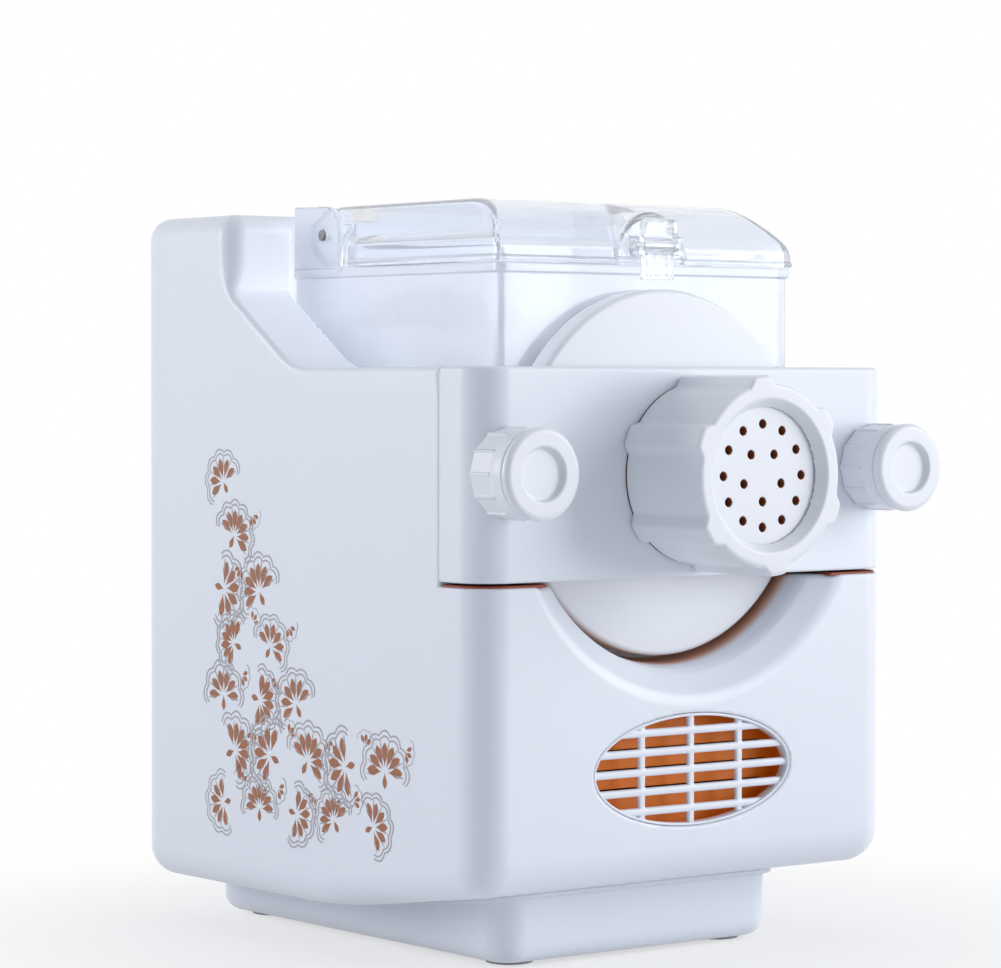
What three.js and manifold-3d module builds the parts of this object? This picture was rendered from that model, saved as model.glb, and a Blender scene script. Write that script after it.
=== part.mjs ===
// Electric pasta maker: a bench-top dough mixer and extruder.
// Millimetres, +Z up. The machine stands on z = 0 and its nozzle faces -Y.
// A motor under the bowl drives a two-stage gear train in the rear tower. The train turns an auger that
// mixes in the clear bowl and pushes dough through the barrel, the die and the lobed nozzle nut.
// The crossbar clamps the front of the bowl to the housing with two thumb screws.

import * as THREE from 'three';
import { mergeVertices } from 'three/addons/utils/BufferGeometryUtils.js';
import Module from 'manifold-3d';

// Clearances shared by the whole machine
const fitGap = 0.3;
const slideGap = 0.6;
const overrun = 6;

// Housing
const columnWidth = 30;
const bodyDepth = 227.6;
const bodyWall = 3;
const bodyFloor = 17.8;
const noseRise = 14.5;
const noseRiseLength = 98.8;
const cornerRadius = 14;
const bottomFillet = 12;
const topFillet = 9;
const towerDepth = 67.1;
const deckDrop = 0.2;
const rampRise = 27.4;
const towerRise = 32.2;
const rampLength = 62.7;
const rampBlend = 9;
const recessMargin = 16;
const recessLipMargin = 3.3;
const recessLipDepth = 8;
const recessDepth = 17.4;
const floorOpeningHalfWidth = 52;
const floorOpeningMargin = 44;

// Bowl
const bowlHalfWidth = 70;
const bowlWall = 3;
const bowlHeadroom = 7.5;
const bowlFrontDepth = 27.4;
const bowlRearGap = 0.7;
const cradleGap = 0.8;
const rimWidth = 1.4;
const rimHeight = 3.5;
const bowlMouthMargin = 12;
const shaftSealRadius = 12.7;

// Crossbar with its thumb screws
const crossbarDrop = 38;
const crossbarHeight = 77.4;
const crossbarDepth = 24.3;
const crossbarWall = 3.2;
const seamGap = 1.7;
const screwSideGap = 18.5;
const screwLift = 1.4;
const screwRadius = 4;
const screwHole = 4.7;
const screwReach = 24;
const insertRadius = 6.2;
const insertLength = 20;
const bossWall = 2.2;
const knobRadius = 16.7;
const knobLength = 22.4;
const knobRingLength = 7;
const knobDishRadius = 9;
const knobDishDepth = 2.4;
const knobRibs = 12;
const knobRibHeight = 0.9;
const knobRibShares = [0, 1, 1, 0];
const knobLipRadius = 2;
const washerRadius = 10.5;
const washerThickness = 1.6;

// Front disc, barrel, die and nut
const discMargin = 1.6;
const discThickness = 9.6;
const discEdge = 2;
const discFrontDepth = 17.5;
const barrelRadius = 27;
const barrelBore = 22;
const barrelFlangeRadius = 32.5;
const barrelFlangeThickness = 4;
const sealMargin = 7;
const sealSection = 2.6;
const nutLength = 42.1;
const nutRadius = 33.5;
const nutLobes = 6;
const nutLobeHeight = 3.1;
const nutLobeAngle = 36.4;
const lobeStartShare = 0.42;
const lobeFullShare = 0.68;
const nutLipBore = 24.5;
const nutMouthBore = 27.8;
const nutLipLength = 4.4;
const nutChamfer = 2.2;
const dieThickness = 5;
const dieHoleRadius = 1.65;
const dieOuterPitchRadius = 18.7;
const dieInnerPitchRadius = 9.4;
const dieOuterHoles = 12;
const dieInnerHoles = 5;
const dieOuterAngle = 90;
const dieInnerAngle = 270;

// Auger
const augerHubRadius = 9;
const augerHubLength = 26;
const augerShaftRadius = 7.5;
const screwCoreRadius = 9.5;
const screwFlightRadius = 21.4;
const screwFlightThickness = 3.2;
const screwFlightRoot = 3;
const screwPitch = 17;
const screwTurns = 3;
const augerTipGap = 1.5;
const paddleMargin = 9;
const paddleStartShare = 0.45;
const paddleArmRadius = 4;
const paddleWidth = 24;
const paddleThickness = 4.5;
const paddlePitchAngle = 28;
const paddleCount = 4;
const paddleSpacing = 26;
const paddleRearOffset = 12;

// Gear train and motor
const bowlMotorDrop = 58.8;
const motorRadius = 33;
const motorLength = 84;
const motorBellRadius = 14;
const motorBellLength = 4;
const motorShaftRadius = 3.5;
const fanRadius = 29;
const fanHubRadius = 8.5;
const fanHubLength = 10;
const fanBlades = 7;
const fanBladeThickness = 1.6;
const fanBladeWidth = 11;
const fanBladePitch = 35;
const fanBladeRoot = 2;
const fanGap = 3;
const firstModule = 2;
const firstPinionTeeth = 11;
const firstWheelTeeth = 43;
const secondModule = 2.25;
const secondPinionTeeth = 12;
const secondWheelTeeth = 44;
const gearWidth = 6;
const outputGearWidth = 8;
const gearHubWall = 4;
const gearStageGap = 3;
const gearBacklashShare = 0.06;
const addendumShare = 0.9;
const dedendumShare = 1.15;
const pressureAngle = 22;
const axleRadius = 4;
const plateThickness = 2.5;
const plateHalfWidth = 58;
const plateMargin = 6;
const plateCorner = 10;
const gearCoverWall = 2.5;
const gearCoverGap = 4;
const outputShaftRadius = 6.5;
const hexHalfFlat = 5.2;
const hexLength = 20;
const hexSides = 6;
const bearingRadius = 12.5;
const bearingFlange = 1.6;

// Control panel, board and buttons
const panelWidth = 116;
const panelDepth = 36;
const panelThickness = 3;
const panelCorner = 8;
const panelLedge = 3;
const buttonRadius = 8;
const buttonSpacing = 32;
const buttonCount = 3;
const buttonTravel = 1.5;
const buttonProud = 1.6;
const buttonSkirtRadius = 9.4;
const buttonSkirtHeight = 1.6;
const boardThickness = 1.6;
const boardDrop = 12;
const boardInset = 3;
const switchWidth = 6;
const switchHeight = 3.5;
const postRadius = 3;
const postInset = 5;
const safetyWidth = 20;
const safetyHeight = 10;
const safetyDepth = 6.5;

// Rear cover and power inlet
const coverHalfWidth = 78;
const coverBaseMargin = 26.2;
const coverTopMargin = 28.8;
const coverCorner = 10;
const coverLedge = 4;
const coverThickness = 2.7;
const slotWidth = 70;
const slotHeight = 3;
const slotPitch = 8;
const slotCount = 7;
const slotTopMargin = 24;
const coverScrewInset = 9;
const coverScrewRadius = 3.4;
const coverScrewShank = 1.7;
const inletWidth = 27;
const inletHeight = 20;
const inletDepth = 18;
const inletWall = 2;
const inletOffset = 48;
const inletRise = 22;
const inletPinLength = 12;
const inletPinWidth = 4;
const inletPinThickness = 2;
const inletPinSpacing = 8;

// Vent
const ventTopGap = 2.6;
const ventHalfWidth = 47.7;
const ventHalfHeight = 20.9;
const ventRim = 3.2;
const ventRimThickness = 1.6;
const ventRecess = 1.2;
const barPitch = 7.2;
const barThickness = 2.4;
const ribSpacing = 23.6;
const ribThickness = 2.9;
const ventTrayDepth = 7;
const ventTrayWall = 1.4;
const ventSlotHeight = 1.8;

// Base tray and feet
const baseHalfWidth = 67.7;
const baseFront = 84.4;
const baseRear = 106;
const baseCorner = 15;
const baseFillet = 8;
const baseFloor = 2.4;
const baseWall = 3;
const baseFlange = 2.6;
const baseFlangeThickness = 2;
const footRadius = 9;
const footStem = 3.2;
const footStemLength = 3.4;
const footInset = 17;

// Lid, hinge and latch
const lidSeatGap = 0.5;
const lidWall = 2.8;
const lidFrontEdge = 6;
const lidBevelLength = 34;
const lidBevelShare = 0.42;
const lidSideEdge = 9;
const lidSideBevel = 11;
const lidFrontProud = 0.2;
const hingeInset = 19;
const hingeRise = 13;
const knuckleRadius = 11.8;
const knuckleSwing = 1.2;
const earThickness = 3.8;
const pinRadius = 2;
const pinHeadProud = 0.5;
const hoodHalfWidth = 17;
const hoodRise = 7;
const hoodDepth = 26;
const latchHalfWidth = 7.6;
const latchDrop = 12.5;
const latchRise = 8.5;
const latchThickness = 2.4;
const latchPivotRise = 7;
const latchPinRadius = 1.4;
const latchBarrelRadius = 2.7;
const lugThickness = 2.6;
const lugHeight = 7;
const magnetMargin = 19;
const magnetWidth = 8;
const magnetThickness = 4;

// Facets
const arcSteps = 3;
const roundSides = 12;
const middleSides = 20;
const wideSides = 28;
const smallSides = 8;
const lobeSteps = 10;
const flightSteps = 12;
const weld = 1e-4;

const quarterTurn = Math.PI / 2;
const fullTurn = Math.PI * 2;

// Widths and radii, out from the bowl's half width
const bodyWidth = 2 * (bowlHalfWidth + columnWidth);
const screwOffset = bowlHalfWidth + screwSideGap;
const recessRadius = bowlHalfWidth + recessMargin;
const recessLipRadius = bowlHalfWidth + recessLipMargin;
const bowlMouthRadius = bowlHalfWidth - bowlMouthMargin;
const discRadius = bowlHalfWidth - discMargin;
const sealRadius = bowlHalfWidth - sealMargin;
const paddleReach = bowlHalfWidth - paddleMargin;
const magnetOffset = bowlHalfWidth - magnetMargin;

// Heights, from the motor on the floor up through the gear train to the bowl, the crossbar and the tower
const motorFloorGap = bowlHalfWidth - bowlMotorDrop;
const motorHeight = bodyFloor + bodyWall + motorFloorGap + motorRadius;
const idlerHeight = motorHeight + firstModule * (firstPinionTeeth + firstWheelTeeth) / 2;
const axisHeight = idlerHeight + secondModule * (secondPinionTeeth + secondWheelTeeth) / 2;
const screwHeight = axisHeight + screwLift;
const crossbarBase = axisHeight - crossbarDrop;
const crossbarTop = crossbarBase + crossbarHeight;
const deckHeight = crossbarTop - deckDrop;
const rampTop = deckHeight + rampRise;
const bodyHeight = rampTop + towerRise;
const ventHeight = axisHeight - recessRadius - ventTopGap - ventHalfHeight;
const coverBase = bodyFloor + coverBaseMargin;
const coverTop = bodyHeight - coverTopMargin;
const slotTop = coverTop - slotTopMargin;
const inletCentre = coverBase + inletRise;
const bowlHeight = axisHeight + bowlHalfWidth + bowlHeadroom;
const hingeHeight = bowlHeight + hingeRise;
const lidBase = bowlHeight + lidSeatGap;
const hoodHeight = hingeHeight + hoodRise;
const latchPivotHeight = bowlHeight + latchPivotRise;
const latchBase = latchPivotHeight - latchDrop;
const latchTop = latchPivotHeight + latchRise;

// Places along the machine, from the nozzle to the rear cover
const frontY = -bodyDepth / 2;
const rearY = bodyDepth / 2;
const towerY = rearY - towerDepth;
const seatY = frontY + crossbarDepth;
const discFrontY = frontY + discFrontDepth;
const discRearY = discFrontY + discThickness;
const bowlFrontY = frontY + bowlFrontDepth;
const bowlRearY = towerY - bowlRearGap;
const hingeY = bowlRearY - hingeInset;
const cradleRadius = bowlHalfWidth + cradleGap;
const nutFrontY = frontY - nutLength;
const dieFrontY = nutFrontY + nutLipLength + fitGap;
const barrelFrontY = dieFrontY + dieThickness + fitGap;
const plateFrontY = towerY + bodyWall + fitGap;
const plateRearY = plateFrontY + plateThickness;
const firstStageY = plateRearY + gearStageGap;
const secondStageY = firstStageY + gearWidth + gearStageGap;
const gearCoverY = secondStageY + outputGearWidth + gearCoverGap;

const radians = degrees => THREE.MathUtils.degToRad(degrees);

const finish = (color, roughness, metalness) => new THREE.MeshStandardMaterial({ color, roughness, metalness });
const plastic = (color, roughness = 0.35) => finish(color, roughness, 0);
const metal = (color, roughness = 0.3) => finish(color, roughness, 1);
const clear = () => new THREE.MeshStandardMaterial(
  { color: '#e6f0fa', roughness: 0.08, metalness: 0, transparent: true, opacity: 0.35 });

const white = plastic('#eef2f8');
const knobWhite = plastic('#f2f4f8', 0.3);
const orange = plastic('#b4570e', 0.5);
const greyRubber = plastic('#9a9ca2', 0.75);
const gearNylon = plastic('#e4dfcf', 0.5);
const boardGreen = plastic('#1f5b3a', 0.6);
const blackPlastic = plastic('#1d1e21', 0.5);
const steel = metal('#b9bcc2');
const brass = metal('#c79a4b', 0.35);
const darkSteel = metal('#55585e', 0.4);

const wasm = await Module();
wasm.setup();

// Turns a closed three.js geometry into a solid that can be joined and cut
function solid(geometry) {
  const plain = new THREE.BufferGeometry();
  plain.setAttribute('position', geometry.getAttribute('position').clone());
  if (geometry.index) plain.setIndex(geometry.index.clone());
  const merged = mergeVertices(plain, weld);
  const triangles = [];
  for (let i = 0; i < merged.index.count; i += 3) {
    const [a, b, c] = [0, 1, 2].map(k => merged.index.getX(i + k));
    if (a !== b && b !== c && c !== a) triangles.push(a, b, c);
  }
  return new wasm.Manifold(new wasm.Mesh({
    numProp: 3,
    vertProperties: Float32Array.from(merged.getAttribute('position').array),
    triVerts: Uint32Array.from(triangles),
  }));
}

function toGeometry(manifold) {
  const data = manifold.getMesh();
  const geometry = new THREE.BufferGeometry();
  geometry.setAttribute('position', new THREE.BufferAttribute(Float32Array.from(data.vertProperties), 3));
  geometry.setIndex(new THREE.BufferAttribute(Uint32Array.from(data.triVerts), 1));
  geometry.computeVertexNormals();
  return geometry;
}

const machine = new THREE.Group();
// The origin is at the middle of the whole machine's footprint, nozzle included
machine.position.y = nutLength / 2;

function place(name, manifold, material) {
  const mesh = new THREE.Mesh(toGeometry(manifold), material);
  mesh.name = name;
  machine.add(mesh);
}

const join = (first, ...others) => others.reduce((whole, piece) => whole.add(piece), first);
const cut = (first, ...others) => others.reduce((whole, piece) => whole.subtract(piece), first);
const both = signs => [-1, 1].map(signs);
const span = (a, b) => [Math.min(a, b), Math.max(a, b)];
const around = (middle, width) => [middle - width / 2, middle + width / 2];

// Outlines
const point = (x, y) => new THREE.Vector2(x, y);
const outline = points => new THREE.Shape(points);

function arcPoints(centre, radius, from, to, steps) {
  return Array.from({ length: steps + 1 }, (_, i) => {
    const angle = from + (to - from) * i / steps;
    return point(centre.x + radius * Math.cos(angle), centre.y + radius * Math.sin(angle));
  });
}

function ellipsePoints(halfWidth, halfHeight, count) {
  return Array.from({ length: count }, (_, i) => {
    const angle = fullTurn * i / count;
    return point(halfWidth * Math.cos(angle), halfHeight * Math.sin(angle));
  });
}

function roundedRectangle(left, right, bottom, top, radius, steps = arcSteps) {
  const corners = [
    [point(right - radius, bottom + radius), -quarterTurn],
    [point(right - radius, top - radius), 0],
    [point(left + radius, top - radius), quarterTurn],
    [point(left + radius, bottom + radius), 2 * quarterTurn],
  ];
  return outline(corners.flatMap(
    ([centre, start]) => arcPoints(centre, radius, start, start + quarterTurn, steps)));
}

// Extrusions of an outline along one axis of the machine
function alongZ(shape, from, to) {
  const geometry = new THREE.ExtrudeGeometry(shape, { depth: to - from, bevelEnabled: false });
  return solid(geometry.translate(0, 0, from));
}

function alongY(shape, from, to) {
  const geometry = new THREE.ExtrudeGeometry(shape, { depth: to - from, bevelEnabled: false });
  return solid(geometry.rotateX(quarterTurn).translate(0, to, 0));
}

function alongX(shape, from, to) {
  const geometry = new THREE.ExtrudeGeometry(shape, { depth: to - from, bevelEnabled: false });
  return solid(geometry.rotateX(quarterTurn).rotateZ(quarterTurn).translate(from, 0, 0));
}

function block(x, y, z) {
  const geometry = new THREE.BoxGeometry(x[1] - x[0], y[1] - y[0], z[1] - z[0]);
  return solid(geometry.translate((x[0] + x[1]) / 2, (y[0] + y[1]) / 2, (z[0] + z[1]) / 2));
}

// Round bars and turned shapes whose axis runs front to rear
function rod(radius, y, x = 0, z = 0, sides = roundSides) {
  const geometry = new THREE.CylinderGeometry(radius, radius, y[1] - y[0], sides);
  return solid(geometry.translate(x, (y[0] + y[1]) / 2, z));
}

function turned(profile, x = 0, z = 0, sides = wideSides) {
  const closed = profile.map(([radius, y]) => point(radius, y));
  closed.push(closed[0].clone());
  return solid(new THREE.LatheGeometry(closed, sides).translate(x, 0, z));
}

function crossRod(radius, x, y, z, sides = smallSides) {
  const geometry = new THREE.CylinderGeometry(radius, radius, x[1] - x[0], sides);
  return solid(geometry.rotateZ(quarterTurn).translate((x[0] + x[1]) / 2, y, z));
}

function uprightRod(radius, z, x, y, sides = roundSides) {
  const geometry = new THREE.CylinderGeometry(radius, radius, z[1] - z[0], sides);
  return solid(geometry.rotateX(quarterTurn).translate(x, y, (z[0] + z[1]) / 2));
}

// A tub skinned over rings that are mirror images about x = 0, with its ends closed in strips across
function loft(rings) {
  const count = rings[0].length;
  const indices = [];
  for (let r = 0; r + 1 < rings.length; r++) {
    for (let i = 0; i < count; i++) {
      const next = (i + 1) % count;
      const lower = r * count;
      const upper = lower + count;
      indices.push(lower + i, lower + next, upper + next, lower + i, upper + next, upper + i);
    }
  }
  const last = (rings.length - 1) * count;
  for (let k = 0; k + 1 < count / 2; k++) {
    const right = [k, k + 1];
    const left = [count - 1 - k, count - 2 - k];
    indices.push(right[0], left[1], right[1], right[0], left[0], left[1]);
    indices.push(last + right[0], last + right[1], last + left[1]);
    indices.push(last + right[0], last + left[1], last + left[0]);
  }
  const geometry = new THREE.BufferGeometry();
  const positions = rings.flat().flatMap(p => [p.x, p.y, p.z]);
  geometry.setAttribute('position', new THREE.Float32BufferAttribute(positions, 3));
  geometry.setIndex(indices);
  return solid(geometry);
}

// One ring of a tub: a rounded rectangle with a station on each side where the underside turns up
function tubRing(halfWidth, front, rear, radius, station, height) {
  const half = [
    ...arcPoints(point(halfWidth - radius, front + radius), radius, -quarterTurn, 0, arcSteps),
    point(halfWidth, station),
    ...arcPoints(point(halfWidth - radius, rear - radius), radius, 0, quarterTurn, arcSteps),
  ];
  const mirrored = half.map(p => point(-p.x, p.y)).reverse();
  return [...half, ...mirrored].map(p => new THREE.Vector3(p.x, p.y, height(p.y)));
}

// The underside is level at the rear and rises towards the nozzle
const noseStation = frontY + noseRiseLength;
const underside = y => bodyFloor + Math.max(0, noseStation - y) * noseRise / noseRiseLength;

// The housing as a plain rounded block, drawn in by `inset` on every side
function bodyBlock(inset) {
  const rings = [];
  const bottom = bottomFillet - inset;
  const top = topFillet - inset;
  const ringAt = (drawn, height) => tubRing(
    bodyWidth / 2 - inset - drawn, frontY + inset + drawn, rearY - inset - drawn,
    Math.max(cornerRadius - inset - drawn, fitGap), noseStation, height);
  for (let i = 0; i <= arcSteps; i++) {
    const angle = quarterTurn * i / arcSteps;
    const rise = bottom * (1 - Math.cos(angle));
    rings.push(ringAt(bottom * (1 - Math.sin(angle)), y => underside(y) + inset + rise));
  }
  for (let i = 0; i <= arcSteps; i++) {
    const angle = quarterTurn * i / arcSteps;
    rings.push(ringAt(top * (1 - Math.cos(angle)), () => bodyHeight - inset - top * (1 - Math.sin(angle))));
  }
  return loft(rings);
}

// What the deck, the ramp and the crossbar seat take off the front of that block
function frontRelief(grow) {
  const slope = Math.atan2(rampTop - deckHeight, rampLength);
  const footY = towerY - rampLength + grow * Math.tan(slope / 2);
  const headZ = rampTop + grow * (Math.tan(slope) - 1 / Math.cos(slope));
  const deck = deckHeight - grow;
  const shape = outline([
    point(frontY - overrun, crossbarBase - seamGap - grow),
    point(seatY + grow, crossbarBase - seamGap - grow),
    point(seatY + grow, deck),
    point(footY - rampBlend, deck),
    point(footY + rampBlend * (Math.cos(slope) - 1) / 2, deck + rampBlend * Math.sin(slope) / 4),
    point(footY + rampBlend * Math.cos(slope), deck + rampBlend * Math.sin(slope)),
    point(towerY + grow, headZ),
    point(towerY + grow, bodyHeight + overrun),
    point(frontY - overrun, bodyHeight + overrun),
  ]);
  return alongX(shape, -bodyWidth / 2 - overrun, bodyWidth / 2 + overrun);
}

// A trough with upright walls above a round bottom
function troughShape(radius, top) {
  const bottom = arcPoints(point(0, axisHeight), radius, 0, -2 * quarterTurn, wideSides / 2);
  return outline([point(radius, top), ...bottom, point(-radius, top)]);
}

// A wide soft bevel in the front wall runs down to a lip, and a steeper dish from there to the front disc
function frontRecess(grow) {
  const edge = recessRadius + grow;
  const lip = recessLipRadius + grow;
  const bevel = Array.from({ length: arcSteps + 1 }, (_, i) => {
    const share = i / arcSteps;
    return [edge + (lip - edge) * share, frontY + recessLipDepth * share ** 2];
  });
  const inside = cradleRadius + grow - slideGap;
  const wallEnd = frontY + recessDepth;
  return turned([
    [0, frontY - overrun], [edge, frontY - overrun], ...bevel,
    [inside + slideGap * 2, wallEnd], [inside, wallEnd + grow], [0, wallEnd + grow],
  ], 0, axisHeight);
}

function housingForm(grow) {
  const trough = alongY(
    troughShape(cradleRadius + grow, bodyHeight + overrun), frontY - overrun, towerY + grow);
  return cut(bodyBlock(grow), frontRelief(grow), trough, frontRecess(grow));
}

function frontEllipse(halfWidth, halfHeight, y) {
  const points = ellipsePoints(halfWidth, halfHeight, wideSides).map(p => point(p.x, p.y + ventHeight));
  return alongY(outline(points), y[0], y[1]);
}

function coverShape(inset) {
  return roundedRectangle(
    -coverHalfWidth + inset, coverHalfWidth - inset, coverBase + inset, coverTop - inset, coverCorner);
}

const coverFrontY = rearY - coverThickness;
const panelY = [towerY + (towerDepth - panelDepth) / 2, rearY - (towerDepth - panelDepth) / 2];
const panelShape = inset => roundedRectangle(
  -panelWidth / 2 + inset, panelWidth / 2 - inset, panelY[0] + inset, panelY[1] - inset, panelCorner - inset);
const panelUnderside = bodyHeight - panelThickness;

function coverScrewPlaces() {
  const x = coverHalfWidth - coverScrewInset;
  return [coverBase + coverScrewInset, coverTop - coverScrewInset].flatMap(z => [[-x, z], [x, z]]);
}

function mainHousing() {
  let shell = cut(housingForm(0), housingForm(bodyWall));
  // The rear cover lies on a ledge just inside its opening
  const ledgeY = [coverFrontY - fitGap - bodyWall, coverFrontY - fitGap];
  const ledge = cut(
    alongY(coverShape(-bodyWall), ledgeY[0], ledgeY[1]),
    alongY(coverShape(coverLedge), ledgeY[0] - overrun, ledgeY[1] + overrun));
  shell = cut(shell, alongY(coverShape(-fitGap), rearY - bodyWall - overrun, rearY + overrun));
  const collar = cut(
    alongY(coverShape(-bodyWall), ledgeY[0], rearY - bodyWall),
    alongY(coverShape(-fitGap), ledgeY[0] - overrun, rearY + overrun));
  shell = join(shell, ledge, collar);
  // The control panel lies in a stepped opening in the top of the tower
  const panelFrame = alongZ(
    panelShape(-panelLedge), panelUnderside - fitGap - bodyWall, bodyHeight - bodyWall / 2);
  shell = join(shell, panelFrame);
  shell = cut(
    shell,
    alongZ(panelShape(-fitGap), panelUnderside - fitGap, bodyHeight + overrun),
    alongZ(panelShape(panelLedge), panelUnderside - bodyWall - overrun, bodyHeight));
  // Screw pillars for the crossbar in the two side columns
  const pillar = (radius, y) => both(side => rod(radius, y, side * screwOffset, screwHeight));
  shell = join(shell, ...pillar(insertRadius + bossWall, [seatY, seatY + insertLength + bossWall]));
  shell = cut(
    shell,
    ...pillar(insertRadius + fitGap, [seatY - overrun, seatY + insertLength + fitGap]),
    ...pillar(screwHole, [seatY, seatY + insertLength + overrun]));
  // Screw holes of the rear cover
  for (const [x, z] of coverScrewPlaces()) {
    shell = cut(shell, rod(coverScrewShank + fitGap, [ledgeY[0] - overrun, rearY], x, z, smallSides));
  }
  const floorOpening = roundedRectangle(
    -floorOpeningHalfWidth, floorOpeningHalfWidth, frontY + floorOpeningMargin, rearY - floorOpeningMargin,
    baseCorner);
  return cut(
    shell,
    alongZ(floorOpening, 0, bodyFloor + noseRise + bodyWall),
    frontEllipse(ventHalfWidth, ventHalfHeight, [frontY - overrun, frontY + bodyWall + overrun]),
    rod(bearingRadius + fitGap, [towerY - overrun, towerY + bodyWall + overrun], 0, axisHeight));
}

function crossbar() {
  const half = bodyWidth / 2;
  const plan = inset => outline([
    ...arcPoints(point(half - cornerRadius, frontY + cornerRadius), cornerRadius - inset, -quarterTurn, 0,
      arcSteps),
    point(half - inset, seatY + (inset ? overrun : -fitGap)),
    point(-half + inset, seatY + (inset ? overrun : -fitGap)),
    ...arcPoints(point(-half + cornerRadius, frontY + cornerRadius), cornerRadius - inset, -quarterTurn,
      -2 * quarterTurn, arcSteps).reverse(),
  ]);
  const backY = seatY - fitGap;
  let bar = cut(
    alongZ(plan(0), crossbarBase, crossbarTop),
    alongZ(plan(crossbarWall), crossbarBase + crossbarWall, crossbarTop - crossbarWall));
  const bosses = both(side => rod(insertRadius + bossWall, [frontY + crossbarWall / 2, backY],
    side * screwOffset, screwHeight));
  const ribs = both(side => block(
    around(side * discRadius, crossbarWall),
    [frontY + crossbarWall / 2, discFrontY],
    [crossbarBase + crossbarWall / 2, crossbarTop - crossbarWall / 2]));
  const collar = rod(barrelFlangeRadius + bossWall, [frontY + crossbarWall / 2, discFrontY],
    0, axisHeight, wideSides);
  bar = join(bar, ...bosses, ...ribs, collar);
  return cut(
    bar,
    rod(discRadius + slideGap, [discFrontY - fitGap, seatY + overrun], 0, axisHeight, wideSides),
    rod(barrelRadius + slideGap, [frontY - overrun, seatY], 0, axisHeight, wideSides),
    rod(barrelFlangeRadius + fitGap, [discFrontY - fitGap - barrelFlangeThickness - fitGap, seatY],
      0, axisHeight, wideSides),
    ...both(side => rod(screwHole, [frontY - overrun, seatY + overrun], side * screwOffset, screwHeight)));
}

function frontDisc() {
  const edgeCentre = point(discRadius - discEdge, discFrontY + discEdge);
  const edge = arcPoints(edgeCentre, discEdge, -quarterTurn, 0, arcSteps).map(p => [p.x, p.y]);
  const groove = sealSection + fitGap;
  return turned([
    [barrelRadius + fitGap, discFrontY], ...edge, [discRadius, discRearY],
    [sealRadius + groove, discRearY], [sealRadius + groove, discRearY - sealSection],
    [sealRadius - groove, discRearY - sealSection], [sealRadius - groove, discRearY],
    [barrelRadius + fitGap, discRearY],
  ], 0, axisHeight);
}

function bowlSeal() {
  const inner = sealRadius - sealSection;
  const outer = sealRadius + sealSection;
  return turned([
    [inner, discRearY - sealSection + fitGap], [outer, discRearY - sealSection + fitGap],
    [outer, discRearY], [inner, discRearY],
  ], 0, axisHeight);
}

function extrusionBarrel() {
  const flangeRear = discFrontY - fitGap;
  const flangeFront = flangeRear - barrelFlangeThickness;
  return turned([
    [barrelBore, barrelFrontY], [barrelRadius, barrelFrontY], [barrelRadius, flangeFront],
    [barrelFlangeRadius, flangeFront], [barrelFlangeRadius, flangeRear], [barrelRadius, flangeRear],
    [barrelRadius, discRearY], [barrelBore, discRearY],
  ], 0, axisHeight, middleSides);
}

function diePlate() {
  let plate = rod(barrelRadius, [dieFrontY, dieFrontY + dieThickness], 0, axisHeight, wideSides);
  const drill = (count, pitchRadius, start) => {
    for (let i = 0; i < count; i++) {
      const angle = radians(start) + fullTurn * i / count;
      plate = cut(plate, rod(dieHoleRadius, [dieFrontY - overrun, dieFrontY + dieThickness + overrun],
        pitchRadius * Math.cos(angle), axisHeight + pitchRadius * Math.sin(angle), smallSides));
    }
  };
  drill(dieOuterHoles, dieOuterPitchRadius, dieOuterAngle);
  drill(dieInnerHoles, dieInnerPitchRadius, dieInnerAngle);
  return plate;
}

// Six grip lobes with flat tops and soft shoulders run the full length of the nut
function lobedOutline(radius, lobeHeight) {
  const points = [];
  for (let i = 0; i < nutLobes * lobeSteps; i++) {
    const phase = (i % lobeSteps) / lobeSteps;
    const fromCrest = Math.abs(phase - 0.5) * 2;
    const rise = THREE.MathUtils.smoothstep(1 - fromCrest, lobeStartShare, lobeFullShare);
    const angle = radians(nutLobeAngle) + fullTurn * (i / lobeSteps - 0.5) / nutLobes;
    const reach = radius + lobeHeight * rise;
    points.push(point(reach * Math.cos(angle), axisHeight + reach * Math.sin(angle)));
  }
  return outline(points);
}

function nozzleNut() {
  const rear = frontY - fitGap;
  const body = alongY(lobedOutline(nutRadius, nutLobeHeight), nutFrontY, rear);
  const widest = nutRadius + nutLobeHeight + overrun;
  const envelope = turned([
    [0, nutFrontY], [nutRadius - nutChamfer / 2, nutFrontY], [nutRadius + nutChamfer, nutFrontY + nutChamfer],
    [widest, nutFrontY + nutLipLength + nutChamfer], [widest, rear - nutChamfer],
    [nutRadius + nutChamfer, rear], [0, rear],
  ], 0, axisHeight);
  const lip = turned([
    [0, nutFrontY - overrun], [nutMouthBore, nutFrontY - overrun], [nutMouthBore, nutFrontY + nutChamfer / 4],
    [nutLipBore, nutFrontY + nutLipLength], [nutLipBore, nutFrontY + nutLipLength + overrun],
    [0, nutFrontY + nutLipLength + overrun],
  ], 0, axisHeight);
  const boreY = [nutFrontY + nutLipLength, rear + overrun];
  const bore = rod(barrelRadius + fitGap, boreY, 0, axisHeight, wideSides);
  return cut(body.intersect(envelope), lip, bore);
}

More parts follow.
